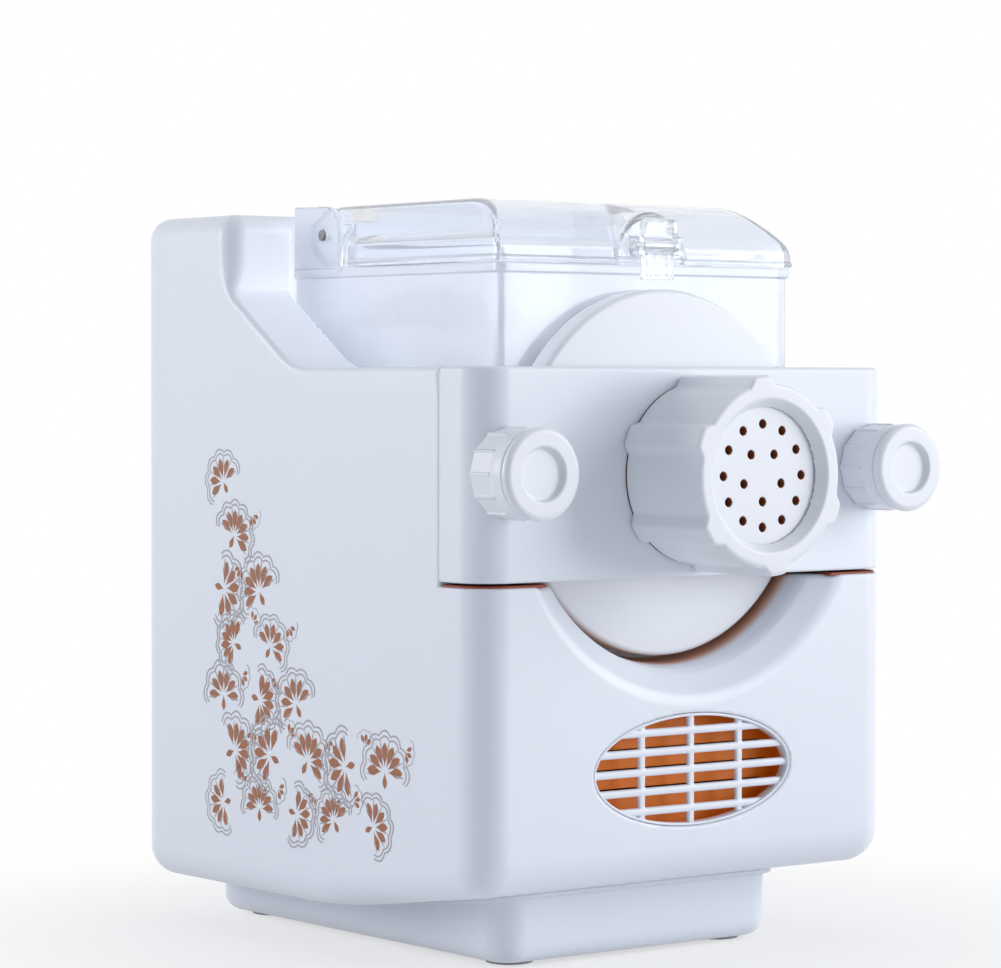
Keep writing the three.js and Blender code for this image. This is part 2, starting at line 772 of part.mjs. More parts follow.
// The thumb knob: a ribbed barrel behind a smooth front ring with a round dish in its face
function knob(x) {
  const rear = frontY - fitGap;
  const front = frontY - knobLength;
  const ringRear = front + knobRingLength;
  const ribbed = [];
  const steps = knobRibs * knobRibShares.length;
  for (let i = 0; i < steps; i++) {
    const angle = fullTurn * i / steps;
    const reach = knobRadius - knobRibHeight * 2 + knobRibHeight * knobRibShares[i % knobRibShares.length];
    ribbed.push(point(x + reach * Math.cos(angle), screwHeight + reach * Math.sin(angle)));
  }
  const barrel = alongY(outline(ribbed), ringRear - knobRibHeight, rear);
  const lipCentre = point(knobRadius - knobLipRadius, front + knobLipRadius);
  const lip = arcPoints(lipCentre, knobLipRadius, -quarterTurn, 0, arcSteps).map(p => [p.x, p.y]);
  const ring = turned([
    [0, front + knobDishDepth], [knobDishRadius - knobDishDepth / 2, front + knobDishDepth],
    [knobDishRadius, front], ...lip,
    [knobRadius, ringRear - knobRibHeight], [knobRadius - knobRibHeight, ringRear],
    [0, ringRear],
  ], x, screwHeight, roundSides);
  return cut(
    join(barrel, ring),
    rod(washerRadius + slideGap, [frontY - fitGap - washerThickness - fitGap, frontY], x, screwHeight),
    rod(screwRadius + fitGap, [ringRear, frontY], x, screwHeight, smallSides));
}

function thumbScrew(x) {
  const front = frontY - knobLength + knobRingLength + fitGap;
  return rod(screwRadius, [front, seatY + screwReach], x, screwHeight, smallSides);
}

function washer(x) {
  const ring = rod(washerRadius, [frontY - fitGap - washerThickness, frontY - fitGap], x, screwHeight);
  return cut(ring, rod(screwHole, [frontY - overrun, frontY + overrun], x, screwHeight, smallSides));
}

function threadedInsert(x) {
  const sleeve = rod(insertRadius, [seatY, seatY + insertLength], x, screwHeight);
  const boreY = [seatY - overrun, seatY + insertLength + overrun];
  return cut(sleeve, rod(screwRadius + slideGap, boreY, x, screwHeight, smallSides));
}

function mixingBowl() {
  const outer = alongY(troughShape(bowlHalfWidth, bowlHeight), bowlFrontY, bowlRearY);
  const rimShape = roundedRectangle(
    -bowlHalfWidth - rimWidth, bowlHalfWidth + rimWidth, bowlFrontY - rimWidth, bowlRearY, rimWidth);
  const rim = alongZ(rimShape, bowlHeight - rimHeight, bowlHeight);
  const inner = alongY(
    troughShape(bowlHalfWidth - bowlWall, bowlHeight + overrun), bowlFrontY + bowlWall, bowlRearY - bowlWall);
  let bowl = cut(join(outer, rim), inner);
  // The rear wall rises into a bridge that ends in the two hinge ears
  const bridge = block(
    [-bowlHalfWidth, bowlHalfWidth], [bowlRearY - bowlWall, bowlRearY],
    [bowlHeight - bowlWall, hingeHeight + knuckleRadius - fitGap]);
  const earRadius = knuckleRadius - fitGap * 2;
  const ears = both(side => {
    const shape = outline([
      point(hingeY - earRadius, bowlHeight - rimHeight),
      point(bowlRearY, bowlHeight - rimHeight),
      point(bowlRearY, hingeHeight + earRadius),
      ...arcPoints(point(hingeY, hingeHeight), earRadius, quarterTurn, 2 * quarterTurn, arcSteps),
    ]);
    const x = span(side * (bowlHalfWidth - earThickness), side * bowlHalfWidth);
    return alongX(shape, x[0], x[1]);
  });
  bowl = join(bowl, bridge, ...ears);
  return cut(
    bowl,
    rod(bowlMouthRadius, [bowlFrontY - overrun, bowlFrontY + bowlWall + overrun], 0, axisHeight, wideSides),
    rod(shaftSealRadius + fitGap, [bowlRearY - bowlWall - overrun, bowlRearY + overrun], 0, axisHeight),
    crossRod(pinRadius + fitGap, [-bodyWidth, bodyWidth], hingeY, hingeHeight));
}

function shaftSeal() {
  const rear = bowlRearY - fitGap;
  const front = bowlRearY - bowlWall - rimWidth;
  return turned([
    [augerHubRadius + slideGap, front], [shaftSealRadius, front], [shaftSealRadius, rear],
    [augerHubRadius + slideGap, rear],
  ], 0, axisHeight, roundSides);
}

function hexagon(halfFlat) {
  const reach = halfFlat / Math.cos(Math.PI / hexSides);
  return outline(ellipsePoints(reach, reach, hexSides).map(p => point(p.x, p.y + axisHeight)));
}

// The extruding screw is a thick ribbon wound on the core
function screwFlight(front, rear) {
  const steps = screwTurns * flightSteps;
  const positions = [];
  const indices = [];
  const inner = screwCoreRadius - screwFlightRoot;
  for (let i = 0; i <= steps; i++) {
    const angle = fullTurn * i / flightSteps;
    const along = front + screwFlightThickness / 2 + (rear - front - screwFlightThickness) * i / steps;
    const corners = [[inner, -1], [screwFlightRadius, -1], [screwFlightRadius, 1], [inner, 1]];
    for (const [radius, side] of corners) {
      positions.push(
        radius * Math.cos(angle),
        along + side * screwFlightThickness / 2,
        axisHeight + radius * Math.sin(angle));
    }
  }
  for (let i = 0; i < steps; i++) {
    for (let k = 0; k < 4; k++) {
      const a = i * 4 + k;
      const b = i * 4 + (k + 1) % 4;
      indices.push(a, b, b + 4, a, b + 4, a + 4);
    }
  }
  const end = steps * 4;
  indices.push(0, 2, 1, 0, 3, 2, end, end + 1, end + 2, end, end + 2, end + 3);
  const geometry = new THREE.BufferGeometry();
  geometry.setAttribute('position', new THREE.Float32BufferAttribute(positions, 3));
  geometry.setIndex(indices);
  return solid(geometry);
}

function mixingAuger() {
  const hubRear = bowlRearY + fitGap;
  const hubFront = hubRear - augerHubLength;
  const screwRear = barrelFrontY + augerTipGap + screwPitch * screwTurns;
  const tip = barrelFrontY + augerTipGap;
  let auger = join(
    rod(augerHubRadius, [hubFront, hubRear], 0, axisHeight),
    rod(augerShaftRadius, [screwRear - overrun, hubFront + overrun], 0, axisHeight),
    rod(screwCoreRadius, [tip, screwRear], 0, axisHeight),
    screwFlight(tip + fitGap, screwRear - fitGap));
  for (let i = 0; i < paddleCount; i++) {
    const side = i % 2 ? 1 : -1;
    const y = hubFront - paddleRearOffset - paddleSpacing * i;
    const reach = paddleReach - paddleThickness / 2;
    const arm = crossRod(paddleArmRadius, side > 0 ? [0, reach] : [-reach, 0], y, axisHeight, smallSides);
    const inner = reach * paddleStartShare;
    const blade = new THREE.BoxGeometry(reach - inner, paddleWidth, paddleThickness)
      .rotateX(side * radians(paddlePitchAngle))
      .translate(side * (reach + inner) / 2, y, axisHeight);
    auger = join(auger, arm, solid(blade));
  }
  return cut(auger, alongY(hexagon(hexHalfFlat + fitGap), hubRear - hexLength - fitGap, hubRear + overrun));
}

// A spur gear with straight-sided teeth that follow an involute at root and tip
function gearOutline(teeth, module, phase) {
  const pitchRadius = teeth * module / 2;
  const baseRadius = pitchRadius * Math.cos(radians(pressureAngle));
  const involute = a => Math.tan(a) - a;
  const tipRadius = pitchRadius + module * addendumShare;
  const rootRadius = pitchRadius - module * dedendumShare;
  const halfTooth = (quarterTurn / teeth) * (1 - gearBacklashShare) + involute(radians(pressureAngle));
  const halfAngle = radius => {
    const angle = radius > baseRadius ? Math.acos(baseRadius / radius) : 0;
    return Math.max(halfTooth - involute(angle), weld);
  };
  const points = [];
  for (let i = 0; i < teeth; i++) {
    const middle = phase + fullTurn * i / teeth;
    const rootHalf = halfAngle(Math.max(rootRadius, baseRadius));
    const tipHalf = halfAngle(tipRadius);
    points.push(
      [rootRadius, middle - rootHalf], [tipRadius, middle - tipHalf],
      [tipRadius, middle + tipHalf], [rootRadius, middle + rootHalf]);
  }
  return points.map(([radius, angle]) => point(radius * Math.cos(angle), radius * Math.sin(angle)));
}

function gear(teeth, module, phase, height, y) {
  return alongY(outline(gearOutline(teeth, module, phase).map(p => point(p.x, p.y + height))), y[0], y[1]);
}

// Each pair meshes on the vertical line through both centres, with a tooth up on the lower gear
// and a gap down on the upper one
const toothUp = quarterTurn;
const gapDown = teeth => -quarterTurn + Math.PI / teeth;

function motorPinion() {
  const y = [firstStageY, firstStageY + gearWidth];
  return cut(gear(firstPinionTeeth, firstModule, toothUp, motorHeight, y),
    rod(motorShaftRadius + fitGap, [y[0] - overrun, y[1] + overrun], 0, motorHeight, smallSides));
}

function intermediateGear() {
  const wheelY = [firstStageY, firstStageY + gearWidth];
  const pinionY = [firstStageY + gearWidth / 2, secondStageY + outputGearWidth];
  const wheel = gear(firstWheelTeeth, firstModule, gapDown(firstWheelTeeth), idlerHeight, wheelY);
  const pinion = gear(secondPinionTeeth, secondModule, toothUp, idlerHeight, pinionY);
  const webY = [wheelY[0] - overrun, wheelY[0] + gearWidth / 4];
  const rimRadius = firstModule * firstWheelTeeth / 2 - gearHubWall;
  const hubRadius = secondModule * secondPinionTeeth / 2 + gearHubWall / 2;
  const web = turned([[hubRadius, webY[0]], [rimRadius, webY[0]], [rimRadius, webY[1]], [hubRadius, webY[1]]],
    0, idlerHeight);
  return cut(join(wheel, pinion), web,
    rod(axleRadius + slideGap, [wheelY[0] - overrun, pinionY[1] + overrun], 0, idlerHeight, smallSides));
}

function outputGear() {
  const y = [secondStageY, secondStageY + outputGearWidth];
  const wheel = gear(secondWheelTeeth, secondModule, gapDown(secondWheelTeeth), axisHeight, y);
  const rimRadius = secondModule * secondWheelTeeth / 2 - gearHubWall - secondModule;
  const hubRadius = outputShaftRadius + gearHubWall;
  const web = turned([
    [hubRadius, y[0] - overrun], [rimRadius, y[0] - overrun],
    [rimRadius, y[0] + gearWidth / 4], [hubRadius, y[0] + gearWidth / 4],
  ], 0, axisHeight);
  return cut(wheel, web,
    rod(outputShaftRadius + fitGap, [y[0] - overrun, y[1] + overrun], 0, axisHeight));
}

function outputShaft() {
  const rear = gearCoverY - gearCoverWall - fitGap;
  const hexRear = bowlRearY + fitGap * 2;
  const shaft = rod(outputShaftRadius, [hexRear, rear], 0, axisHeight);
  return join(shaft, alongY(hexagon(hexHalfFlat), hexRear - hexLength, hexRear + overrun));
}

function intermediateAxle() {
  return rod(axleRadius, [plateFrontY, gearCoverY - gearCoverWall - fitGap], 0, idlerHeight, smallSides);
}

function bearing() {
  const flangeFront = towerY + fitGap;
  const bodyRear = plateRearY + bearingFlange;
  return cut(
    rod(bearingRadius, [flangeFront, bodyRear], 0, axisHeight),
    rod(outputShaftRadius + fitGap, [flangeFront - overrun, bodyRear + overrun], 0, axisHeight));
}

function gearPlate() {
  const top = axisHeight + secondModule * secondWheelTeeth / 2 + plateMargin;
  const bottom = motorHeight - motorRadius - plateMargin / 2;
  const shape = roundedRectangle(-plateHalfWidth, plateHalfWidth, bottom, top, plateCorner);
  return cut(
    alongY(shape, plateFrontY, plateRearY),
    rod(motorBellRadius / 2, [plateFrontY - overrun, plateRearY + overrun], 0, motorHeight),
    rod(axleRadius + fitGap, [plateFrontY - overrun, plateRearY + overrun], 0, idlerHeight, smallSides),
    rod(bearingRadius + fitGap, [plateFrontY - overrun, plateRearY + overrun], 0, axisHeight));
}

function gearboxCover() {
  const wheel = secondModule * secondWheelTeeth / 2 + secondModule;
  const top = axisHeight + wheel + gearCoverWall + slideGap;
  const bottom = motorHeight - firstModule * firstPinionTeeth - gearCoverWall;
  const halfWidth = wheel + gearCoverWall + slideGap;
  const front = plateRearY + fitGap;
  return cut(
    alongY(roundedRectangle(-halfWidth, halfWidth, bottom, top, wheel / 2), front, gearCoverY),
    alongY(roundedRectangle(-halfWidth + gearCoverWall, halfWidth - gearCoverWall, bottom + gearCoverWall,
      top - gearCoverWall, wheel / 2 - gearCoverWall), front - overrun, gearCoverY - gearCoverWall));
}

function motor() {
  const rear = plateFrontY - fitGap;
  const front = rear - motorLength;
  return turned([
    [motorShaftRadius + fitGap, front], [motorBellRadius, front], [motorBellRadius, front + motorBellLength],
    [motorRadius - motorBellLength, front + motorBellLength], [motorRadius, front + motorBellLength * 2],
    [motorRadius, rear - motorBellLength], [motorRadius - motorBellLength, rear],
    [motorShaftRadius + fitGap, rear],
  ], 0, motorHeight, middleSides);
}

const motorFrontY = plateFrontY - fitGap - motorLength;
const fanY = [motorFrontY - fanGap - fanHubLength, motorFrontY - fanGap];

function motorShaft() {
  return rod(motorShaftRadius, [fanY[0], firstStageY + gearWidth], 0, motorHeight, smallSides);
}

function coolingFan() {
  let fan = rod(fanHubRadius, fanY, 0, motorHeight);
  const middle = (fanY[0] + fanY[1]) / 2;
  for (let i = 0; i < fanBlades; i++) {
    const length = fanRadius - fanHubRadius + fanBladeRoot;
    const blade = new THREE.BoxGeometry(fanBladeThickness, fanBladeWidth, length)
      .rotateZ(radians(fanBladePitch))
      .translate(0, 0, fanHubRadius - fanBladeRoot + length / 2)
      .rotateY(fullTurn * i / fanBlades)
      .translate(0, middle, motorHeight);
    fan = join(fan, solid(blade));
  }
  return cut(fan,
    rod(motorShaftRadius + fitGap, [fanY[0] - overrun, fanY[1] + overrun], 0, motorHeight, smallSides));
}

// Bars and ribs across the oval vent, held by a rim behind the front wall
function ventGrille() {
  const rimFront = frontY + bodyWall + fitGap;
  const rimRear = rimFront + ventRimThickness;
  const barFront = frontY + ventRecess;
  const ring = cut(
    frontEllipse(ventHalfWidth + ventRim, ventHalfHeight + ventRim, [rimFront, rimRear]),
    frontEllipse(ventHalfWidth - fitGap, ventHalfHeight - fitGap, [rimFront - overrun, rimRear + overrun]));
  const bars = [];
  const barCount = Math.floor(ventHalfHeight / barPitch);
  for (let i = -barCount; i <= barCount; i++) {
    const z = ventHeight + i * barPitch;
    bars.push(block(around(0, ventHalfWidth * 2 + ventRim), [barFront, rimRear], around(z, barThickness)));
  }
  const ribCount = Math.floor(ventHalfWidth / ribSpacing);
  for (let i = -ribCount; i <= ribCount; i++) {
    if (Math.abs(i) * ribSpacing > ventHalfWidth - ribThickness) continue;
    const x = i * ribSpacing;
    bars.push(block(
      around(x, ribThickness), [barFront, rimRear], around(ventHeight, ventHalfHeight * 2 + ventRim)));
  }
  const lattice = join(...bars).intersect(join(
    frontEllipse(ventHalfWidth - fitGap, ventHalfHeight - fitGap, [barFront, rimRear]),
    frontEllipse(ventHalfWidth + ventRim / 2, ventHalfHeight + ventRim / 2, [rimFront, rimRear])));
  return join(ring, lattice);
}

// The orange tray seen through the vent, with air slots hidden behind the bars
function ventTray() {
  const front = frontY + bodyWall + fitGap + ventRimThickness + fitGap;
  const rear = front + ventTrayDepth;
  let tray = cut(
    frontEllipse(ventHalfWidth + ventRim, ventHalfHeight + ventRim, [front, rear]),
    frontEllipse(ventHalfWidth + ventRim - ventTrayWall, ventHalfHeight + ventRim - ventTrayWall,
      [front - overrun, rear - ventTrayWall]));
  for (const i of [-1, 0, 1]) {
    const z = ventHeight + i * barPitch;
    const reach = ventHalfWidth * Math.sqrt(1 - (i * barPitch / ventHalfHeight) ** 2) - ventRim;
    tray = cut(tray, block(
      [-reach, reach], [rear - ventTrayWall - overrun, rear + overrun], around(z, ventSlotHeight)));
  }
  return tray;
}

// The tray under the machine follows the rising underside with its flange
function baseTray() {
  const stand = (drawn, height, flange = 0) => tubRing(
    baseHalfWidth - drawn + flange, -baseFront + drawn - flange, baseRear - drawn + flange,
    baseCorner - drawn + flange, noseStation, height);
  const rings = [];
  for (let i = 0; i <= arcSteps; i++) {
    const angle = quarterTurn * i / arcSteps;
    const drawn = baseFillet * (1 - Math.sin(angle));
    rings.push(stand(drawn, () => baseFloor + baseFillet * (1 - Math.cos(angle))));
  }
  const lip = drop => y => underside(y) - fitGap - drop;
  rings.push(stand(0, lip(baseFlangeThickness)));
  rings.push(stand(0, lip(baseFlangeThickness), baseFlange));
  rings.push(stand(0, lip(0), baseFlange));
  const hollow = [
    stand(baseWall, () => baseFloor + baseWall),
    stand(baseWall, y => underside(y) + overrun),
  ];
  let tray = cut(loft(rings), loft(hollow));
  for (const [, x, y] of footPlaces()) {
    tray = cut(tray, uprightRod(footStem + fitGap, [0, baseFloor + baseWall + overrun], x, y, smallSides));
  }
  return tray;
}

function footPlaces() {
  const x = baseHalfWidth - footInset;
  const front = -baseFront + footInset;
  const rear = baseRear - footInset;
  return [
    ['front_left', -x, front], ['front_right', x, front],
    ['rear_left', -x, rear], ['rear_right', x, rear],
  ];
}

function foot(x, y) {
  const pad = uprightRod(footRadius, [0, baseFloor - fitGap], x, y);
  const stemTop = baseFloor + baseWall + footStemLength - fitGap;
  return join(pad, uprightRod(footStem, [0, stemTop], x, y, smallSides));
}

function rearCover() {
  let cover = alongY(coverShape(0), coverFrontY, rearY);
  for (let i = 0; i < slotCount; i++) {
    const z = slotTop - i * slotPitch;
    const reach = [coverFrontY - overrun, rearY + overrun];
    cover = cut(cover, block(around(0, slotWidth), reach, around(z, slotHeight)));
  }
  const opening = roundedRectangle(
    inletOffset - inletWidth / 2 - fitGap, inletOffset + inletWidth / 2 + fitGap,
    inletCentre - inletHeight / 2 - fitGap, inletCentre + inletHeight / 2 + fitGap, inletWall);
  cover = cut(cover, alongY(opening, coverFrontY - overrun, rearY + overrun));
  for (const [x, z] of coverScrewPlaces()) {
    cover = cut(cover,
      rod(coverScrewShank + fitGap, [coverFrontY - overrun, rearY + overrun], x, z, smallSides),
      rod(coverScrewRadius + fitGap, [rearY - coverThickness / 2, rearY + overrun], x, z, smallSides));
  }
  return cover;
}

// The mains inlet: an open socket with three flat pins and a flange behind the cover
function powerInlet() {
  const x = around(inletOffset, inletWidth);
  const z = around(inletCentre, inletHeight);
  const front = rearY - inletDepth;
  let inlet = join(
    alongY(roundedRectangle(x[0], x[1], z[0], z[1], inletWall), front, rearY),
    block([x[0] - inletWall * 2, x[1] + inletWall * 2],
      [coverFrontY - fitGap - inletWall, coverFrontY - fitGap], [z[0] - inletWall, z[1] + inletWall]));
  inlet = cut(inlet, alongY(
    roundedRectangle(x[0] + inletWall, x[1] - inletWall, z[0] + inletWall, z[1] - inletWall, inletWall / 2),
    front + inletWall, rearY + overrun));
  for (const i of [-1, 0, 1]) {
    const pinX = inletOffset + i * inletPinSpacing;
    inlet = join(inlet, block(
      around(pinX, inletPinThickness),
      [front + inletWall / 2, front + inletWall + inletPinLength],
      around(inletCentre, inletPinWidth)));
  }
  return inlet;
}

const buttonPlaces = Array.from(
  { length: buttonCount }, (_, i) => (i - (buttonCount - 1) / 2) * buttonSpacing);
const panelMiddleY = (panelY[0] + panelY[1]) / 2;
const boardTop = panelUnderside - boardDrop;

// The control panel carries the circuit board on four posts
function controlPanel() {
  let panel = alongZ(panelShape(0), panelUnderside, bodyHeight);
  for (const [x, y] of postPlaces()) {
    const reach = [boardTop + fitGap, panelUnderside + panelThickness / 2];
    panel = join(panel, uprightRod(postRadius, reach, x, y, smallSides));
  }
  for (const x of buttonPlaces) {
    panel = cut(panel,
      uprightRod(buttonRadius + fitGap, [panelUnderside - overrun, bodyHeight + overrun], x, panelMiddleY));
  }
  return panel;
}

function postPlaces() {
  const x = panelWidth / 2 - panelLedge - postInset;
  const y = panelDepth / 2 - panelLedge - postInset;
  return [[-x, -y], [x, -y], [-x, y], [x, y]].map(([a, b]) => [a, panelMiddleY + b]);
}

// A cap with a skirt that stops it from below and a plunger that meets its switch
function button(x) {
  const skirtTop = panelUnderside - fitGap;
  const skirtBase = skirtTop - buttonSkirtHeight;
  const plungerBase = boardTop + switchHeight + buttonTravel + fitGap;
  return join(
    uprightRod(buttonRadius, [skirtBase, bodyHeight + buttonProud], x, panelMiddleY),
    uprightRod(buttonSkirtRadius, [skirtBase, skirtTop], x, panelMiddleY),
    uprightRod(postRadius / 2, [plungerBase, skirtBase + buttonSkirtHeight / 2], x, panelMiddleY, smallSides));
}

function circuitBoard() {
  const inset = panelLedge + boardInset / 2;
  let board = alongZ(panelShape(inset), boardTop - boardThickness, boardTop);
  for (const x of buttonPlaces) {
    board = join(board, block(
      around(x, switchWidth), around(panelMiddleY, switchWidth),
      [boardTop - boardThickness / 2, boardTop + switchHeight]));
  }
  return board;
}

// A reed switch on the tower's front wall, level with the magnet in the lid
function safetySwitch() {
  const x = magnetPlace().x;
  const front = towerY + bodyWall + fitGap;
  const top = bodyHeight - bodyWall - fitGap;
  return block(around(x, safetyWidth), [front, front + safetyDepth], [top - safetyHeight, top]);
}

const lidTop = hingeHeight + knuckleRadius;
const lidFrontY = bowlFrontY - rimWidth - lidFrontProud;
const lidSplitY = hingeY - knuckleRadius - knuckleSwing;
const latchPivotY = lidFrontY - slideGap - latchBarrelRadius;
const knuckleHalfWidth = bowlHalfWidth - earThickness - fitGap;

function magnetPlace() {
  return { x: -magnetOffset, y: hingeY - magnetWidth / 2, z: lidTop - lidWall - fitGap };
}

// The lid in side view: upright front edge, long curved bevel, flat top and a round knuckle at the hinge
function lidSide(inset) {
  const front = lidFrontY + inset;
  const top = lidTop - inset;
  const edge = lidBase + lidFrontEdge;
  const bevel = new THREE.QuadraticBezierCurve(
    point(front, edge),
    point(front + lidBevelLength * lidBevelShare, top),
    point(front + lidBevelLength, top));
  const knuckle = knuckleRadius - inset;
  const under = inset ? lidBase - overrun : lidBase;
  const heel = inset ? -quarterTurn - quarterTurn / 3 : -quarterTurn;
  return outline([
    point(front, under), ...bevel.getPoints(arcSteps + 2),
    ...arcPoints(point(hingeY, hingeHeight), knuckle, quarterTurn, heel, arcSteps * 3),
    point(inset ? hingeY + knuckle * Math.cos(heel) : hingeY - knuckleRadius, under),
  ].reverse());
}

// The lid in front view: upright sides with a straight bevel under the flat top
function lidFrontOutline(inset) {
  const half = bowlHalfWidth + rimWidth - inset;
  const edge = lidBase + lidSideEdge;
  const top = lidTop - inset;
  return outline([
    point(half, lidBase - overrun), point(half, edge), point(half - lidSideBevel, top),
    point(-half + lidSideBevel, top), point(-half, edge), point(-half, lidBase - overrun),
  ]);
}

function lidHood(inset) {
  const half = hoodHalfWidth - inset;
  const rise = hoodHeight - inset - lidBase;
  const arch = arcPoints(point(0, 0), 1, 0, 2 * quarterTurn, arcSteps * 2)
    .map(p => point(p.x * half, lidBase + p.y * rise));
  const shape = outline([...arch, point(-half, lidBase - (inset ? overrun : 0)),
    point(half, lidBase - (inset ? overrun : 0))]);
  return alongY(shape, lidFrontY + inset, lidFrontY + hoodDepth);
}

function lidForm(inset) {
  const side = lidSide(inset);
  const width = bowlHalfWidth + rimWidth - inset;
  const profile = alongX(side, -width, width);
  const across = alongY(lidFrontOutline(inset), lidFrontY - overrun, hingeY + knuckleRadius + overrun);
  const whole = profile.intersect(across);
  const notches = both(side => block(
    span(side * (knuckleHalfWidth - inset), side * bodyWidth),
    [lidSplitY - inset, rearY],
    [lidBase - overrun * 2, lidTop + overrun]));
  return join(cut(whole, ...notches), lidHood(inset));
}

function lid() {
  let cover = cut(lidForm(0), lidForm(lidWall));
  // Two lugs in front of the hood hold the latch pin
  const lugY = [latchPivotY - latchBarrelRadius, lidFrontY + lidWall / 2];
  for (const side of [-1, 1]) {
    const inner = latchHalfWidth + fitGap;
    const x = span(side * inner, side * (inner + lugThickness));
    cover = join(cover, block(x, lugY, around(latchPivotHeight, lugHeight)));
  }
  return cut(
    cover,
    crossRod(latchPinRadius + fitGap, [-hoodHalfWidth, hoodHalfWidth], latchPivotY, latchPivotHeight),
    crossRod(pinRadius + fitGap, [-bodyWidth, bodyWidth], hingeY, hingeHeight));
}

function lidLatch() {
  const front = latchPivotY - latchThickness / 2;
  const rear = latchPivotY + latchThickness / 2;
  const shape = outline([
    point(front, latchBase), point(rear, latchBase), point(rear, latchTop - latchThickness),
    point(rear + latchThickness / 4, latchTop), point(front - latchThickness, latchTop + latchThickness),
    point(front - latchThickness, latchTop), point(front, latchTop - latchThickness * 2),
  ]);
  return cut(
    join(alongX(shape, -latchHalfWidth, latchHalfWidth),
      crossRod(latchBarrelRadius, [-latchHalfWidth, latchHalfWidth], latchPivotY, latchPivotHeight)),
    crossRod(latchPinRadius, [-hoodHalfWidth, hoodHalfWidth], latchPivotY, latchPivotHeight));
}

place('main_housing', mainHousing(), white);
place('rear_cover', rearCover(), white);
place('base_tray', baseTray(), white);
place('vent_grille', ventGrille(), white);
place('vent_tray', ventTray(), orange);
for (const [corner, x, y] of footPlaces()) place(`foot_${corner}`, foot(x, y), greyRubber);
place('motor', motor(), darkSteel);
place('motor_shaft', motorShaft(), steel);
place('motor_pinion', motorPinion(), brass);
place('cooling_fan', coolingFan(), blackPlastic);
place('gear_plate', gearPlate(), steel);
place('gearbox_cover', gearboxCover(), blackPlastic);
place('intermediate_axle', intermediateAxle(), steel);
place('intermediate_gear', intermediateGear(), gearNylon);
place('output_gear', outputGear(), gearNylon);
place('output_shaft', outputShaft(), steel);
place('output_bearing', bearing(), brass);
place('control_panel', controlPanel(), white);
place('circuit_board', circuitBoard(), boardGreen);
buttonPlaces.forEach((x, i) => place(`button_${i + 1}`, button(x), knobWhite));
place('safety_switch', safetySwitch(), blackPlastic);
place('power_inlet', powerInlet(), blackPlastic);
place('mixing_bowl', mixingBowl(), clear());
place('shaft_seal', shaftSeal(), greyRubber);
place('mixing_auger', mixingAuger(), knobWhite);
place('crossbar', crossbar(), white);
place('front_disc', frontDisc(), knobWhite);
place('bowl_seal', bowlSeal(), greyRubber);
place('extrusion_barrel', extrusionBarrel(), knobWhite);
place('die_plate', diePlate(), knobWhite);
place('nozzle_nut', nozzleNut(), knobWhite);
for (const [name, x] of [['left', -screwOffset], ['right', screwOffset]]) {
  place(`${name}_insert`, threadedInsert(x), brass);
  place(`${name}_washer`, washer(x), steel);
  place(`${name}_screw`, thumbScrew(x), steel);
  place(`${name}_knob`, knob(x), knobWhite);
}
place('lid', lid(), clear());
const magnet = magnetPlace();
place('lid_magnet', block(
  around(magnet.x, magnetWidth), around(magnet.y, magnetWidth), [magnet.z - magnetThickness, magnet.z]),
  blackPlastic);
for (const [name, side] of [['left', -1], ['right', 1]]) {
  const ends = span(side * (knuckleHalfWidth - lidWall), side * (bowlHalfWidth + pinHeadProud));
  place(`hinge_pin_${name}`, crossRod(pinRadius, ends, hingeY, hingeHeight), darkSteel);
}
place('lid_latch', lidLatch(), clear());
const latchPinSpan = around(0, (latchHalfWidth + lugThickness) * 2);
place('latch_pin', crossRod(latchPinRadius - fitGap, latchPinSpan, latchPivotY, latchPivotHeight), steel);

export default machine;
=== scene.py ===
# Electric pasta maker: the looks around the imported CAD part.
# Fields, profiles and places are in millimetres in the CAD frame: +Z up, the nozzle faces -Y.

import math

import bmesh
import bpy
import numpy as np
import openvdb
from mathutils import Euler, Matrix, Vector

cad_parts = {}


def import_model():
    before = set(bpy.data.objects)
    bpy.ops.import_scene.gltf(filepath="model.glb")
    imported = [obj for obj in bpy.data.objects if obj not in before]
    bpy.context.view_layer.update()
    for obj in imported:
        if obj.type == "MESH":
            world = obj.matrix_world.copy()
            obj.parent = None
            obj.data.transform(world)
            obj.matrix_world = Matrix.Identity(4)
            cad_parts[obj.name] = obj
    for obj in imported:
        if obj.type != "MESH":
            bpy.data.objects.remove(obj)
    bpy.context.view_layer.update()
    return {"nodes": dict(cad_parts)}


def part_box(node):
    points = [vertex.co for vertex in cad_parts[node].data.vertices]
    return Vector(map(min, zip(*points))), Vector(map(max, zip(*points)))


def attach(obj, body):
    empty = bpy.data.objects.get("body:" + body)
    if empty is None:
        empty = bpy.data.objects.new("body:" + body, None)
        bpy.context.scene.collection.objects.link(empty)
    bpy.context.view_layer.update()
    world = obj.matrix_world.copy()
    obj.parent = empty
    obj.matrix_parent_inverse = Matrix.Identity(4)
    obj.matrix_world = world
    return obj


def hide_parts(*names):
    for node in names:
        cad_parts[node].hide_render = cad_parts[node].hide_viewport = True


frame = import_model()

MM = 0.001
TURN = 2 * math.pi


def box_of(node):
    low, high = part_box(node)
    return np.array(low) / MM, np.array(high) / MM


